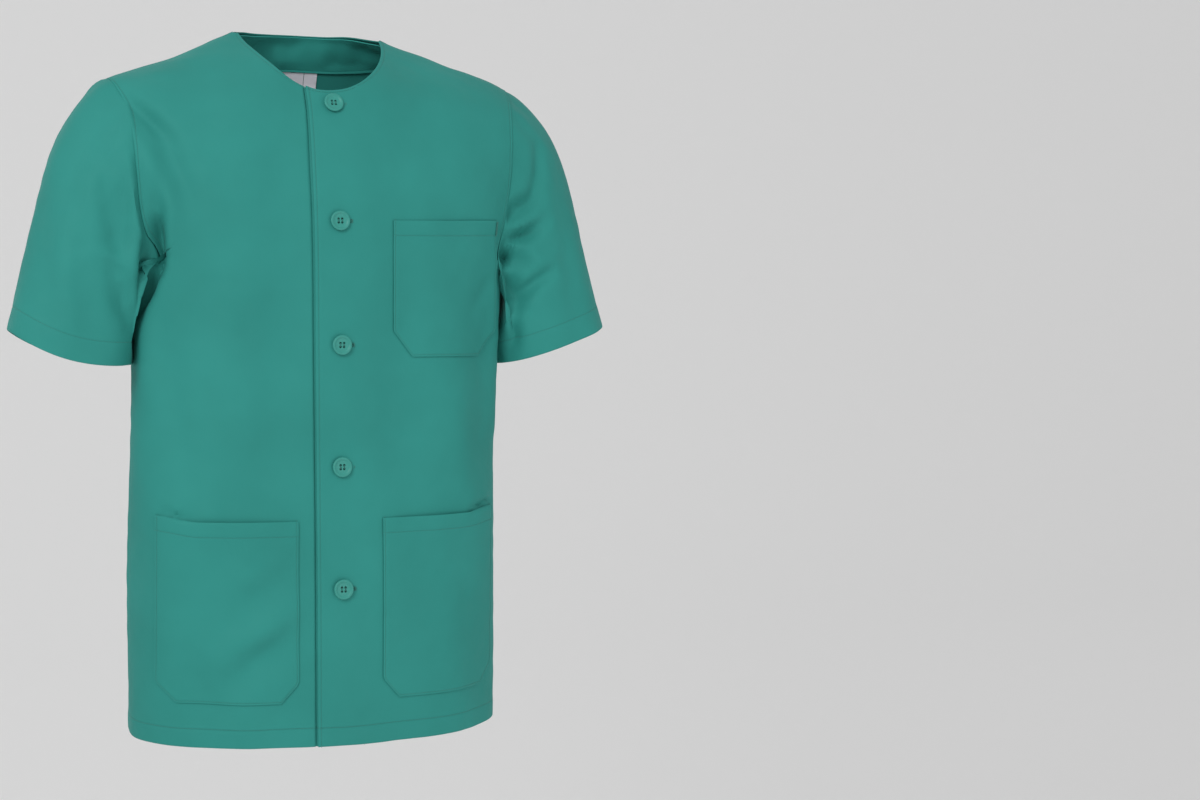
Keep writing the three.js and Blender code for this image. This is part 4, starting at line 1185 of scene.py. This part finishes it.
# Bar tack that ties down the outer corner of the chest pocket's mouth
TACK_X, TACK_TOP_Z = 0.1818, -0.2075
TACK_PITCH = 0.001
TACK_BARS = 14
bars = []
for k in range(TACK_BARS):
    seat = lap_seat(TACK_X, TACK_TOP_Z - TACK_PITCH * k, CLOTH - LAP_GAP + 0.0006)
    bars.append((tube([(-0.0011, 0, 0), (0, 0, 0.0004), (0.0011, 0, 0)], 0.0004, 6), seat))
tack = joined("pocket_tack", bars, thread)
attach(tack, "root")

stitching = sew("stitching", stitch_rows, {
    "Stitch pitch": STITCH_PITCH,
    "Stitch length": STITCH_LENGTH,
    "Thread width": STITCH_WIDTH,
})
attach(stitching, "root")

# Studio
# The tunic is shown filled out in front of a pale, seamless paper sweep, far enough above the
# floor that no shadow shows, in soft even light that comes a little from the upper left.

PAPER_COLOUR = "#F3F3F3"
FLOOR_Z = -2.7
SWEEP_FRONT, SWEEP_BACK = -8.0, 5.0
SWEEP_BEND = 1.0
SWEEP_HEIGHT = 9.0
SWEEP_HALF_WIDTH = 10


def paper_sweep():
    work = bmesh.new()
    bends = [(math.sin(a), 1 - math.cos(a)) for a in np.linspace(0, math.pi / 2, 24)]
    outline = [(SWEEP_FRONT, 0.0), (SWEEP_BACK - SWEEP_BEND, 0.0)]
    outline += [(SWEEP_BACK - SWEEP_BEND + SWEEP_BEND * s, SWEEP_BEND * c) for s, c in bends[1:]]
    outline += [(SWEEP_BACK, SWEEP_HEIGHT)]
    left = [work.verts.new((-SWEEP_HALF_WIDTH, y, FLOOR_Z + z)) for y, z in outline]
    right = [work.verts.new((SWEEP_HALF_WIDTH, y, FLOOR_Z + z)) for y, z in outline]
    for k in range(len(outline) - 1):
        work.faces.new((left[k], right[k], right[k + 1], left[k + 1]))
    mesh = bpy.data.meshes.new("paper_sweep")
    work.to_mesh(mesh)
    work.free()
    mesh.shade_smooth()
    # Uncoated seamless paper, calendered flat: off-white and quite matt
    material, tree = empty_material("Matt background paper")
    surfaced(tree, {"Base Color": linear(PAPER_COLOUR), "Roughness": 0.95, "Specular IOR Level": 0.1})
    mesh.materials.append(material)
    return placed("paper_sweep", mesh)


paper_sweep()

ROOM_LIGHT = 0.66  # soft light from the white walls all round
world = bpy.data.worlds.new("Studio")
bpy.context.scene.world = world
world.use_nodes = True
room = world.node_tree.nodes["Background"].inputs
room["Color"].default_value = (1, 1, 1, 1)
room["Strength"].default_value = ROOM_LIGHT


def soft_box(name, place, aim, size, watts):
    light = bpy.data.lights.new(name, "AREA")
    light.shape = "RECTANGLE"
    light.size, light.size_y = size
    light.energy = watts
    lamp = placed(name, light)
    lamp.location = place
    lamp.rotation_euler = (Vector(aim) - Vector(place)).to_track_quat("-Z", "Y").to_euler()


MIDDLE = (0, 0, -0.36)
soft_box("key_light", (-1.9, -2.1, 1.1), MIDDLE, (1.2, 1.4), 43)
soft_box("fill_light", (1.1, -2.5, -1.2), (0.02, 0, -0.66), (1.6, 2.0), 13)
soft_box("back_light", (-1.2, 2.4, 1.4), MIDDLE, (1.6, 1.6), 8)

# Camera: level, at the photograph's angle and distance. Its frame is shifted, because the tunic
# stands left of the middle of the photograph and lines up with a camera that looks straight ahead.
CAMERA_TURN = math.radians(15.6)
CAMERA_DISTANCE = 1.777
CAMERA_Z = -0.302
FOCAL_PIXELS = 1638
SENSOR_WIDTH = 36  # millimetres
FRAME_WIDTH, FRAME_HEIGHT = 1200, 800
AXIS_PIXEL_X, HORIZON_PIXEL_Y = 307.4, 314

camera_data = bpy.data.cameras.new("camera")
camera_data.sensor_width = SENSOR_WIDTH
camera_data.lens = FOCAL_PIXELS * SENSOR_WIDTH / FRAME_WIDTH
camera_data.shift_x = (FRAME_WIDTH / 2 - AXIS_PIXEL_X) / FRAME_WIDTH
camera_data.shift_y = (HORIZON_PIXEL_Y - FRAME_HEIGHT / 2) / FRAME_WIDTH
camera = placed("camera", camera_data)
camera.location = (
    -CAMERA_DISTANCE * math.sin(CAMERA_TURN),
    -CAMERA_DISTANCE * math.cos(CAMERA_TURN),
    CAMERA_Z,
)
camera.rotation_euler = (math.pi / 2, 0, -CAMERA_TURN)
bpy.context.scene.camera = camera
bpy.context.scene.view_settings.view_transform = "Standard"
